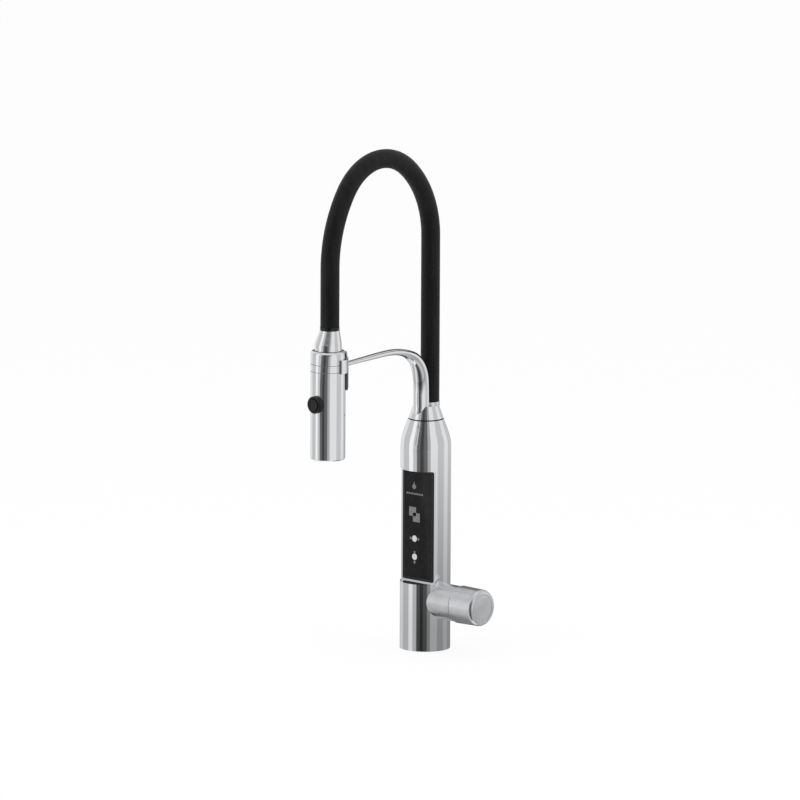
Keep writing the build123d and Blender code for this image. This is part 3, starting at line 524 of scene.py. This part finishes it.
def addWorld():
    world = bpy.data.worlds.new("studio")
    bpy.context.scene.world = world
    tree = emptyTree(world)
    rays = addNode(tree, "LightPath")
    seenOrShiny = addNode(tree, "Math", {"operation": "MAXIMUM"},
                          {0: rays.outputs["Is Camera Ray"], 1: rays.outputs["Is Glossy Ray"]})
    shown = addNode(tree, "Math", {"operation": "MAXIMUM"},
                    {0: seenOrShiny, 1: rays.outputs["Is Transmission Ray"]})
    white = addNode(tree, "Background", {"Color": (1, 1, 1, 1), "Strength": 1.0})
    soft = addNode(tree, "Background", {"Color": (1, 1, 1, 1), "Strength": studio["ambient"]})
    mix = addNode(tree, "MixShader", links={0: shown, 1: soft, 2: white})
    addNode(tree, "OutputWorld", links={"Surface": mix})


for name, (near, across, height), size, strength in softLamps:
    addLamp(name, towards * near + right * across + Vector((0, 0, height)), size, strength)
addWall()
addFoot()
addFloor()
addWorld()
print("studio ready")


# ways of working that several pieces share

# for each way a turned piece can lie, where its radius is drawn and where its axis points
directions = dict(up=(Vector((1, 0, 0)), Vector((0, 0, 1))), side=(Vector((0, 0, 1)), Vector((1, 0, 0))),
                  front=(Vector((0, 0, 1)), Vector((0, -1, 0))))
weld, fineWeld = 1e-6, 1e-7    # metres within which two points become one
past = 1.0    # mm by which a cutting tool reaches past what it cuts


def objectMode():
    if bpy.context.object and bpy.context.object.mode != "OBJECT":
        bpy.ops.object.mode_set(mode="OBJECT")


def deselect():
    objectMode()
    bpy.ops.object.select_all(action="DESELECT")


def pick(piece):
    deselect()
    piece.select_set(True)
    bpy.context.view_layer.objects.active = piece


def editAll():
    bpy.ops.object.mode_set(mode="EDIT")
    bpy.ops.mesh.select_all(action="SELECT")


def faceOutward(merge=0.0):
    # ends the work in edit mode: near points become one, and every face looks outwards
    bpy.ops.mesh.select_all(action="SELECT")
    if merge:
        bpy.ops.mesh.remove_doubles(threshold=merge)
    bpy.ops.mesh.normals_make_consistent(inside=False)
    objectMode()


def applyModifier(piece, kind, **settings):
    bpy.ops.object.modifier_add(type=kind)
    modifier = piece.modifiers[-1]
    for key, value in settings.items():
        setattr(modifier, key, value)
    bpy.ops.object.modifier_apply(modifier=modifier.name)


def roundEdges(piece, width, segments=2, angle=35):
    objectMode()
    applyModifier(piece, "BEVEL", width=width * mm, segments=segments, limit_method="ANGLE",
                  angle_limit=math.radians(angle), miter_outer="MITER_ARC")


def finishPiece(piece, body, slot, nodes=(), look=None, smooth=35):
    # the place goes into the mesh, the edges are shaded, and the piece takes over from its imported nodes
    objectMode()
    bpy.ops.object.transform_apply(location=True, rotation=True, scale=True)
    bpy.ops.object.shade_smooth_by_angle(angle=math.radians(smooth))
    piece.data.materials.clear()
    piece.data.materials.append(look or finish[slot])
    if body:
        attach(piece, body)
    if nodes:
        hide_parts(*nodes)
    return piece


def drawProfile(name, outline, direction="up", at=(0, 0, 0)):
    # one point, drawn out from corner to corner of the outline, given as radius and height in mm
    across, along = directions[direction]
    corners = [(Vector(at) + across * r + along * h) * mm for r, h in outline]
    deselect()
    bpy.ops.mesh.primitive_plane_add(size=mm, location=(0, 0, 0))
    piece = bpy.context.object
    piece.name = name
    editAll()
    bpy.ops.mesh.merge(type="CENTER")
    bpy.ops.transform.translate(value=corners[0])
    for here, there in zip(corners, corners[1:] + corners[:1]):
        bpy.ops.mesh.extrude_region_move(TRANSFORM_OT_translate={"value": there - here})
    bpy.ops.mesh.select_all(action="SELECT")
    bpy.ops.mesh.remove_doubles(threshold=weld)
    return piece


def turned(name, outline, direction="up", at=(0, 0, 0), steps=64, bevel=0.0, segments=2):
    # the outline spun once round its axis, as on a lathe
    piece = drawProfile(name, outline, direction, at)
    bpy.ops.mesh.spin(steps=steps, angle=2 * math.pi, center=Vector(at) * mm, axis=directions[direction][1])
    faceOutward(weld)
    if bevel:
        roundEdges(piece, bevel, segments)
    return piece


def offCorner(radius, top, steps):
    # points round a corner of an outline, each so far in from it and so far below it
    return [(radius - inward, top - below) for inward, below in steps]


def cutBack(hole, radius, low, high, under, over):
    # the outline of a disc with its lower and its upper edge cut off at 45 degrees
    return ((hole, low), (radius - under, low), (radius, low + under), (radius, high - over),
            (radius - over, high), (hole, high))


def cutWith(piece, tool, operation="DIFFERENCE"):
    # the tool's shape is cut from the piece or joined to it, and the tool is thrown away
    pick(piece)
    applyModifier(piece, "BOOLEAN", operation=operation, object=tool, solver="EXACT")
    bpy.data.objects.remove(tool, do_unlink=True)


def copiesAt(piece, places):
    # the piece stands at the first place; each further place gets a copy with a mesh of its own
    copies = [piece]
    for place in places[1:]:
        copy = piece.copy()
        copy.data = piece.data.copy()
        bpy.context.scene.collection.objects.link(copy)
        copy.data.transform(Matrix.Translation((Vector(place) - Vector(places[0])) * mm))
        copies.append(copy)
    return joinAll(copies)


def joinAll(pieces):
    deselect()
    for one in pieces:
        one.select_set(True)
    bpy.context.view_layer.objects.active = pieces[0]
    bpy.ops.object.join()
    return pieces[0]


def hexPrism(name, flats, at, low, high):
    deselect()
    bpy.ops.mesh.primitive_cylinder_add(vertices=6, radius=flats / math.sqrt(3) * mm, depth=(high - low) * mm,
                                        location=(at[0] * mm, at[1] * mm, (low + high) / 2 * mm))
    prism = bpy.context.object
    prism.name = name
    return prism


def uprightPlate(name, width, height, corner, front, middle, thickness):
    # a plate standing across the column's flat, its corners rounded, its front this far from the axis
    deselect()
    bpy.ops.mesh.primitive_plane_add(size=1, location=(0, 0, 0))
    plate = bpy.context.object
    plate.name = name
    editAll()
    bpy.ops.transform.resize(value=(width * mm, height * mm, 1))
    bpy.ops.mesh.bevel(offset=corner * mm, segments=5, affect="VERTICES")
    bpy.ops.mesh.select_all(action="SELECT")
    standUp(front, middle, thickness)
    return plate


def standUp(front, middle, thickness):
    # the flat shape being edited turns to the front, goes to its place and gets its thickness behind
    bpy.ops.transform.rotate(value=-math.pi / 2, orient_axis="X", center_override=(0, 0, 0))
    bpy.ops.transform.translate(value=(middle[0] * mm, -front * mm, middle[1] * mm))
    bpy.ops.mesh.extrude_region_move(TRANSFORM_OT_translate={"value": (0, thickness * mm, 0)})
    faceOutward()


# touch panel: a moulded frame lapping onto the flat, with the glass let into it

panel = dict(corner=2.0, windowCorner=1.0, proud=0.8, overlap=0.2, lap=1.9, rim=3.2, glassThickness=1.6,
             glassSink=0.1, wall=2.2, glassGap=0.05, edge=0.3, glassEdge=0.18)
panelLow, panelHigh = boxInMm("panel_frame")
panelFront, panelBack = -panelLow.y, -panelHigh.y


def addPanel():
    p = panel
    width, height = panelHigh.x - panelLow.x, panelHigh.z - panelLow.z
    middle = ((panelHigh.x + panelLow.x) / 2, (panelHigh.z + panelLow.z) / 2)
    start = panelFront - p["proud"] + p["overlap"]    # the shell starts within the rim, so that they join
    body = uprightPlate("panelFrame", width, height, p["corner"], panelFront, middle, p["proud"])
    shell = (width - 2 * p["lap"], height - 2 * p["lap"])
    cutWith(body, uprightPlate("shell", *shell, p["corner"], start, middle, start - panelBack), "UNION")
    seen = (width - 2 * p["rim"], height - 2 * p["rim"])
    sunk, corner = p["glassSink"] + p["glassThickness"], p["windowCorner"]
    cutWith(body, uprightPlate("window", *seen, corner, panelFront + past, middle, past + sunk))
    tray = [side - 2 * p["wall"] for side in shell]
    cutWith(body, uprightPlate("tray", *tray, corner, panelFront, middle, panelFront - panelBack + past))
    roundEdges(body, p["edge"], 3)
    finishPiece(body, "column", "frame_plastic", ("panel_frame",))
    pane = [side - 2 * p["glassGap"] for side in seen]
    front = panelFront - p["glassSink"]
    glass = uprightPlate("panelGlass", *pane, corner, front, middle, p["glassThickness"])
    roundEdges(glass, p["glassEdge"], 3)
    finishPiece(glass, "column", "panel_glass", ("panel_glass",))


# lamps that shine through the glass: plain shapes, each place across the panel and height in mm

marks = dict(proud=0.06, sunk=0.1, roundSides=24, dropSize=5.2, dropAt=(-5.3, 169.5), dropPoint=3.4,
             dropTip=0.98, tickSize=(2.6, 1.7), tickPitch=3.3, ticks=7, ticksFrom=(-14.4, 162.0),
             squareSize=9.5, squareCut=0.5, squares=(((-7.4, 143.2), 2.0), ((-2.2, 137.4), 2.6)),
             dots=(((6.4, 6.8), (-4.6, 115.0)), ((6.6, 6.6), (-4.4, 96.0))),
             wings=(((2.6, 2.4), (-9.7, 115.0)), ((2.6, 2.4), (0.5, 115.0)),
                    ((2.2, 3.0), (-4.4, 90.4)), ((2.2, 2.0), (-4.4, 101.0))))


def flatMark(name, sides, size, place):
    # a thin window let into the front of the glass; one with four sides stands square
    deselect()
    bpy.ops.mesh.primitive_circle_add(vertices=sides, radius=0.5, fill_type="NGON", location=(0, 0, 0))
    mark = bpy.context.object
    mark.name = name
    editAll()
    turn, reach = (math.pi / 4, math.sqrt(2)) if sides == 4 else (0, 1.0)
    bpy.ops.transform.rotate(value=turn, orient_axis="Z", center_override=(0, 0, 0))
    bpy.ops.transform.resize(value=(size[0] * mm * reach, size[1] * mm * reach, 1))
    front = panelFront - panel["glassSink"] + marks["proud"]
    standUp(front, place, marks["proud"] + marks["sunk"])
    return mark


def openSquare(place, line):
    size, longer = marks["squareSize"], marks["squareCut"]
    outer = flatMark("filterMarks", 4, (size, size), place)
    inner = flatMark("cut", 4, (size - 2 * line, size - 2 * line), place)
    # the cut is stretched in depth, so that it comes out on both sides
    inner.scale.y = 1 + longer
    inner.location.y = longer * panelFront * mm
    cutWith(outer, inner)
    return outer


def addMarks():
    m = marks
    drop = flatMark("dropMark", m["roundSides"], (m["dropSize"], m["dropSize"]), m["dropAt"])
    top = (m["dropAt"][1] + m["dropTip"] * m["dropSize"] / 2) * mm
    bpy.ops.object.mode_set(mode="EDIT")
    bpy.ops.mesh.select_mode(type="VERT")
    bpy.ops.mesh.select_all(action="DESELECT")
    objectMode()
    for vertex in drop.data.vertices:
        vertex.select = vertex.co.z > top
    bpy.ops.object.mode_set(mode="EDIT")
    bpy.ops.transform.translate(value=(0, 0, m["dropPoint"] * mm))    # the top point drawn up into a drop
    finishPiece(drop, "column", "clear_plastic", look=lamps["dim"])
    across, height = m["ticksFrom"]
    places = [(across + i * m["tickPitch"], 0, height) for i in range(m["ticks"])]
    ticks = copiesAt(flatMark("levelMarks", 4, m["tickSize"], m["ticksFrom"]), places)
    finishPiece(ticks, "column", "clear_plastic", look=lamps["dim"])
    squares = joinAll([openSquare(place, line) for place, line in m["squares"]])
    finishPiece(squares, "column", "clear_plastic", look=lamps["dim"])
    dots = joinAll([flatMark("touchMarks", m["roundSides"], size, place) for size, place in m["dots"]])
    finishPiece(dots, "column", "clear_plastic", look=lamps["bright"])
    wings = joinAll([flatMark("touchWings", 4, size, place) for size, place in m["wings"]])
    finishPiece(wings, "column", "clear_plastic", look=lamps["dim"])


# hose: a round braided tube on one smooth line, slacker at the front of its arch than at the rear

hose = dict(radius=9.8, wall=1.5, bore=5.0, crownRadius=64.3, rearSlack=13.1, frontSlack=27.1, steps=36,
            roundSteps=22, smooth=50, blendReach=67.0)    # steps along each stretch, and round the tube


def archSide(crown, half, side, slack):
    # where the crown's bend meets the slacker one and where the leg starts, with their Bezier arms
    r = hose["crownRadius"]
    drop = half + slack
    turn = math.pi / 2 - 2 * math.atan((half - r) / (drop - r))
    slackRadius = r + (drop - r) / math.cos(turn)
    bend = crown + Vector((0, side * r * math.sin(turn), r * (math.cos(turn) - 1)))
    leg = crown + Vector((0, side * half, -drop))
    slope = Vector((0, side * math.cos(turn), -math.sin(turn)))
    crownArm = 4 / 3 * math.tan(turn / 4) * r
    legArm = 4 / 3 * math.tan((math.pi / 2 - turn) / 4) * slackRadius
    return bend, leg, slope, crownArm, legArm


def hosePoints():
    # each point with its two handles, from the rear end over the crown to the front end
    low, high = boxInMm("hose_sleeve")
    rear, front = high.y - hose["radius"], low.y + hose["radius"]
    crown = Vector((0, (rear + front) / 2, high.z - hose["radius"]))
    rearLow = Vector((0, rear, low.z))
    frontLow = Vector((0, front, boxInMm("hose_upper_ferrule")[1].z))
    half = (rear - front) / 2
    rearSlack, frontSlack = hose["rearSlack"], hose["frontSlack"]
    rearBend, rearLeg, rearSlope, rearCrownArm, rearLegArm = archSide(crown, half, 1, rearSlack)
    frontBend, frontLeg, frontSlope, frontCrownArm, frontLegArm = archSide(crown, half, -1, frontSlack)
    rise, ahead = Vector((0, 0, 1)), Vector((0, -1, 0))
    rearThird, frontThird = (rearLeg - rearLow) / 3, (frontLeg - frontLow) / 3
    return crown, (
        (rearLow, rearLow - rearThird, rearLow + rearThird),
        (rearLeg, rearLeg - rearThird, rearLeg + rise * rearLegArm),
        (rearBend, rearBend + rearSlope * rearLegArm, rearBend - rearSlope * rearCrownArm),
        (crown, crown - ahead * rearCrownArm, crown + ahead * frontCrownArm),
        (frontBend, frontBend - frontSlope * frontCrownArm, frontBend + frontSlope * frontLegArm),
        (frontLeg, frontLeg + rise * frontLegArm, frontLeg - frontThird),
        (frontLow, frontLow + frontThird, frontLow - frontThird),
    )


def bentTube(name, radius, wall, points):
    # an open round tube along the hose's line, which then gets its wall inwards
    line = bpy.data.curves.new(name, "CURVE")
    line.dimensions = "3D"
    spline = line.splines.new("BEZIER")
    spline.bezier_points.add(len(points) - 1)
    for point, (middle, before, after) in zip(spline.bezier_points, points):
        point.handle_left_type = point.handle_right_type = "FREE"
        point.co, point.handle_left, point.handle_right = middle * mm, before * mm, after * mm
    line.bevel_depth = radius * mm
    line.bevel_resolution = hose["roundSteps"]
    line.resolution_u = hose["steps"]
    tube = bpy.data.objects.new(name, line)
    bpy.context.scene.collection.objects.link(tube)
    pick(tube)
    bpy.ops.object.convert(target="MESH")
    tube = bpy.context.object
    tube.name = name
    measureAlong(tube, hose["steps"] * (len(points) - 1))
    editAll()
    faceOutward(fineWeld)
    applyModifier(tube, "SOLIDIFY", thickness=wall * mm, offset=-1)
    return tube


def addHose():
    # the braided sleeve and the tube inside it bend together, from the still leg to the one that lifts
    crown, points = hosePoints()
    outer, inner = hose["radius"], hose["radius"] - hose["wall"]
    layers = ((bentTube("hoseSleeve", outer, hose["wall"], points), "hose_sleeve", "black_braid"),
              (bentTube("hoseInnerTube", inner, inner - hose["bore"], points), "hose_inner_tube",
               "black_rubber"))
    for layer, node, slot in layers:
        pick(layer)
        finishPiece(layer, None, slot, (node,), smooth=hose["smooth"])
        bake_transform(layer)


def measureAlong(tube, rings):
    # the tube's own map counts rings; the braid needs metres along the hose
    layer = tube.data.uv_layers[0]
    sums = [[Vector(), 0] for i in range(rings + 1)]
    for loop, corner in zip(tube.data.loops, layer.data):
        entry = sums[round(corner.uv[0] * rings)]
        entry[0] += tube.data.vertices[loop.vertex_index].co
        entry[1] += 1
    centres = [total / count for total, count in sums]
    lengths = [0.0]
    for here, there in zip(centres, centres[1:]):
        lengths.append(lengths[-1] + (there - here).length)
    for corner in layer.data:
        corner.uv = (lengths[round(corner.uv[0] * rings)], corner.uv[1])


# crimped rings at the two ends of the hose, each with one rolled groove

ferrule = dict(inner=6.4, groove=0.2, grooveWidth=0.4, shoulder=0.25, edge=0.12)
ferrules = (("lowerFerrule", "hose_lower_ferrule", "spout", "chrome"),
            ("upperFerrule", "hose_upper_ferrule", "hose_end", "dark_metal"))


def addFerrules():
    f = ferrule
    for name, node, body, slot in ferrules:
        low, high = boxInMm(node)
        inner, outer, tall = f["inner"], (high.x - low.x) / 2, high.z - low.z
        half, slim = tall / 2, outer - f["groove"]
        floor = f["grooveWidth"] / 2
        outline = ((inner, 0), (outer, 0), (outer, half - floor - f["shoulder"]), (slim, half - floor),
                   (slim, half + floor), (outer, half + floor + f["shoulder"]), (outer, tall), (inner, tall))
        at = (0, (low.y + high.y) / 2, low.z)
        ring = turned(name, outline, at=at, steps=96, bevel=f["edge"], segments=3)
        finishPiece(ring, body, slot, (node,))


# push button in the front of the spray head; distances along its axis start at the head's axis

button = dict(bezelBack=14.1, bezelSeat=14.9, bezelTop=22.2, groove=(18.2, 18.4, 18.8, 19.0),
              grooveDeep=0.2, outer=9.0, seat=7.4, inner=6.4, lip=(0.35, 0.5), bezelEdge=0.1,
              bezelCorner=((0.9, 0.0), (0.45, 0.25), (0.0, 0.9)),
              capBack=19.7, capTop=23.2, capRadius=6.0, dish=0.5, dishFlat=2.4, capEdge=0.08,
              capCorner=((0.0, 0.45), (0.3, 0.05), (0.9, 0.0), (1.4, 0.25), (1.7, 0.45)))
shellLow, shellHigh = boxInMm("head_shell")
headY = (shellLow.y + shellHigh.y) / 2


def addButton():
    b = button
    low, high = boxInMm("button_bezel")
    at = (0, headY, (low.z + high.z) / 2)
    inner, outer, seat, top = b["inner"], b["outer"], b["seat"], b["bezelTop"]
    slope, deep = b["lip"]
    nearest, near, far, farthest = b["groove"]
    slim = outer - b["grooveDeep"]
    outline = ((inner, b["bezelSeat"]), (inner, top - deep), (inner + slope, top),
               *offCorner(outer, top, b["bezelCorner"]), (outer, farthest), (slim, far), (slim, near),
               (outer, nearest), (outer, b["bezelBack"]), (seat, b["bezelBack"]), (seat, b["bezelSeat"]))
    bezel = turned("buttonBezel", outline, "front", at, steps=72, bevel=b["bezelEdge"], segments=3)
    finishPiece(bezel, "spray_head", "black_plastic", ("button_bezel",), look=finish["frame_plastic"])
    wide, face = b["capRadius"], b["capTop"]
    outline = ((0, b["capBack"]), (wide, b["capBack"]), *offCorner(wide, face, b["capCorner"]),
               (b["dishFlat"], face - b["dish"]), (0, face - b["dish"]))
    cap = turned("sprayButton", outline, "front", at, steps=72, bevel=b["capEdge"], segments=3)
    finishPiece(cap, "button", "black_plastic", ("spray_button",))


# underside of the spray head: the spray plate, its soft nozzles and the aerator's screen

sprayFace = dict(hole=6.1, step=0.25, stepAt=(7.2, 7.9), stepSlope=0.2, rimAt=14.4, rimStep=0.3,
                 rimSlope=0.3, edge=0.1, rings=((9.2, 10), (12.8, 16)))    # each ring's radius and nozzles
nozzle = dict(root=0.9, tip=0.6, bore=0.35, boreFloor=(0.1, 0.05), proud=0.4, sunk=0.2)
screen = dict(cell=1.6, pitch=1.95, rows=2, wall=0.9, recess=1.2, edge=0.1)


def addSprayFace():
    f = sprayFace
    low, high = boxInMm("spray_face")
    outer, face = (high.x - low.x) / 2, low.z
    near, far = f["stepAt"]
    slope, deep, rim = f["stepSlope"], face + f["step"], face + f["rimStep"]
    outline = ((f["hole"], face), (near, face), (near + slope, deep), (far - slope, deep), (far, face),
               (f["rimAt"], face), (f["rimAt"] + f["rimSlope"], rim), (outer, rim), (outer, high.z),
               (f["hole"], high.z))
    disc = turned("sprayFace", outline, at=(0, headY, 0), steps=96, bevel=f["edge"])
    finishPiece(disc, "spray_head", "black_plastic", ("spray_face",), look=finish["frame_plastic"])
    places = []
    for radius, count in f["rings"]:
        turns = [2 * math.pi * i / count for i in range(count)]
        places += [(radius * math.cos(turn), headY + radius * math.sin(turn), face) for turn in turns]
    bore, root, tip, proud, sunk = (nozzle[key] for key in ("bore", "root", "tip", "proud", "sunk"))
    middle, side = nozzle["boreFloor"]
    outline = ((0, middle), (bore, side), (bore, -proud), (tip, -proud), (root, 0), (root, sunk), (0, sunk))
    one = turned("sprayNozzles", outline, at=places[0], steps=14)
    finishPiece(copiesAt(one, places), "spray_head", "black_rubber", ("spray_nozzles",))


def addScreen():
    # a ring with a honeycomb screen across it
    s = screen
    low, high = boxInMm("aerator_insert")
    outer, deep = (high.x - low.x) / 2, low.z + s["recess"]
    inner = outer - s["wall"]
    outline = ((0, deep), (inner, deep), (inner, low.z), (outer, low.z), (outer, high.z), (0, high.z))
    insert = turned("aeratorScreen", outline, at=(0, headY, 0), steps=72, bevel=s["edge"])
    places = []
    for row in range(-s["rows"], s["rows"] + 1):
        count = 2 * s["rows"] + 1 - abs(row)
        across = row * s["pitch"] * math.sqrt(0.75)    # a honeycomb's rows lie closer than its cells
        places += [((i - (count - 1) / 2) * s["pitch"], headY + across, 0) for i in range(count)]
    first = hexPrism("cells", s["cell"], places[0], low.z - past, high.z + past)
    cutWith(insert, copiesAt(first, places))
    finishPiece(insert, "spray_head", "black_plastic", ("aerator_insert",))


# knob details: the cap let into its front, and the socket screw under it

knobDetail = dict(capCorner=((0.0, 0.15), (0.15, 0.05), (1.2, 0.0)), screwHead=0.3, screwTip=0.5,
                  key=2.5, keyDeep=2.0)    # an M5 screw takes a 2.5 mm key


def addKnobDetails():
    k = knobDetail
    low, high = boxInMm("knob_cap")
    at = (0, 0, (low.z + high.z) / 2)
    radius = (high.z - low.z) / 2
    outline = ((0, low.x), (radius, low.x), *offCorner(radius, high.x, k["capCorner"]), (0, high.x))
    cap = turned("knobCap", outline, "side", at, steps=96)
    finishPiece(cap, "handle", "chrome", ("knob_cap",), look=satin)
    low, high = boxInMm("knob_grub_screw")
    at = ((low.x + high.x) / 2, (low.y + high.y) / 2, 0)
    outline = cutBack(0, (high.x - low.x) / 2, low.z, high.z, k["screwHead"], k["screwTip"])
    screw = turned("knobGrubScrew", outline, at=at, steps=48)
    cutWith(screw, hexPrism("key", k["key"], at, low.z - past, low.z + k["keyDeep"]))
    finishPiece(screw, "handle", "steel", ("knob_grub_screw",))


# seal under the column, with two lips that press on the worktop

seal = dict(lips=(19.0, 21.5), lipWidth=0.7, lipTip=0.25, groove=0.6, gap=1.0, edge=0.1)


def addBaseSeal():
    low, high = boxInMm("base_seal")
    outer = (high.x - low.x) / 2
    inner = boxInMm("mounting_shank")[1].x + seal["gap"]
    up, wide, tip = low.z + seal["groove"], seal["lipWidth"], seal["lipTip"]
    under = [(inner, up)]
    for lip in seal["lips"]:
        under += [(lip - wide, up), (lip - tip, low.z), (lip + tip, low.z), (lip + wide, up)]
    outline = (*under, (outer, up), (outer, high.z), (inner, high.z))
    ring = turned("baseSeal", outline, steps=96, bevel=seal["edge"])
    finishPiece(ring, "column", "black_rubber", ("base_seal",))


# fixing under the worktop: threaded shank, washers and nut

fixing = dict(core=15.15, bore=13.8, pitch=1.5, threadTop=-1.5, threadEnd=0.8, wide=14.4, step=3.6,
              edge=0.15, chamfer=0.8, nutChamfer=1.9, nutFace=0.4, nutSpare=0.6, washerGap=0.4)

# the thread's tooth: how far it goes into the core and stops short of the crest, its heights at both,
# where its first turn starts, the height that its last one leaves free, and the steps of each turn
thread = dict(sunk=0.2, short=0.02, root=(0.12, 1.38), crest=(0.62, 0.88), start=0.5, free=1.0, steps=40)


def addShank():
    # a rolled thread runs up the shank below the worktop: one tooth wound up the axis
    f, t = fixing, thread
    low, high = boxInMm("mounting_shank")
    crest, foot, top = high.x, low.z, high.z
    outline = ((f["bore"], foot), (f["core"], foot), (f["core"], f["threadTop"]),
               (crest, f["threadTop"] + f["threadEnd"]), (crest, top), (f["wide"], top),
               (f["wide"], f["step"]), (f["bore"], f["step"]))
    core = turned("mountingShank", outline, steps=80, bevel=f["edge"])
    inner, outer = f["core"] - t["sunk"], crest - t["short"]
    (rootLow, rootHigh), (crestLow, crestHigh) = t["root"], t["crest"]
    outline = ((inner, rootLow), (outer, crestLow), (outer, crestHigh), (inner, rootHigh))
    tooth = drawProfile("tooth", outline, at=(0, 0, foot + t["start"]))
    objectMode()
    applyModifier(tooth, "SCREW", axis="Z", angle=2 * math.pi, screw_offset=f["pitch"] * mm,
                  iterations=int((f["threadTop"] - foot - t["free"]) / f["pitch"]),
                  steps=t["steps"], render_steps=t["steps"])
    editAll()
    bpy.ops.mesh.remove_doubles(threshold=fineWeld)
    bpy.ops.mesh.select_all(action="DESELECT")
    bpy.ops.mesh.select_non_manifold()
    bpy.ops.mesh.fill_holes(sides=8)    # the two open ends of the winding
    faceOutward()
    finishPiece(joinAll([core, tooth]), "column", "brass", ("mounting_shank",))


def addNut():
    # a hexagon with its corners turned off on both sides, and a bore with a lead-in
    f = fixing
    low, high = boxInMm("mounting_nut")
    flats, corner = high.y - low.y, (high.x - low.x) / 2 + f["nutSpare"]
    bore = boxInMm("mounting_shank")[1].x
    nut = hexPrism("mountingNut", flats, (0, 0), low.z, high.z)
    if high.x - low.x > flats:
        editAll()
        bpy.ops.transform.rotate(value=math.pi / 6, orient_axis="Z", center_override=(0, 0, 0))
        objectMode()
    face = flats / 2 - f["nutFace"]    # radius of the round face that the corners are turned down to
    under, over = low.z + f["nutChamfer"], high.z - f["nutChamfer"]
    outline = ((0, low.z), (face, low.z), (corner, under), (corner, over), (face, high.z), (0, high.z))
    cutWith(nut, turned("chamfers", outline, steps=96), "INTERSECT")
    lead = bore + f["chamfer"]
    under, over = low.z - past, high.z + past
    outline = ((0, under), (lead, under), (lead, low.z), (bore, low.z + f["chamfer"]),
               (bore, high.z - f["chamfer"]), (lead, high.z), (lead, over), (0, over))
    cutWith(nut, turned("bore", outline, steps=80))
    roundEdges(nut, f["edge"])
    finishPiece(nut, "column", "brass", ("mounting_nut",))


washers = (("rubberWasher", "rubber_washer", "black_rubber", 0.5),
           ("steelWasher", "steel_washer", "steel", 0.3))    # the last is how much their edges are cut back


def addWashers():
    hole = boxInMm("mounting_shank")[1].x + fixing["washerGap"]
    for name, node, slot, edge in washers:
        low, high = boxInMm(node)
        outline = cutBack(hole, high.x, low.z, high.z, edge, edge)
        ring = turned(name, outline, steps=96, bevel=edge / 2, segments=3)
        finishPiece(ring, "column", slot, (node,))


addPanel()
addMarks()
print("panel ready")
addHose()
addFerrules()
print("hose ready")
addButton()
addSprayFace()
addScreen()
print("spray head ready")
addKnobDetails()
addBaseSeal()
addShank()
addNut()
addWashers()
print("knob and fixing ready")

bpy.context.scene.view_settings.view_transform = "Standard"
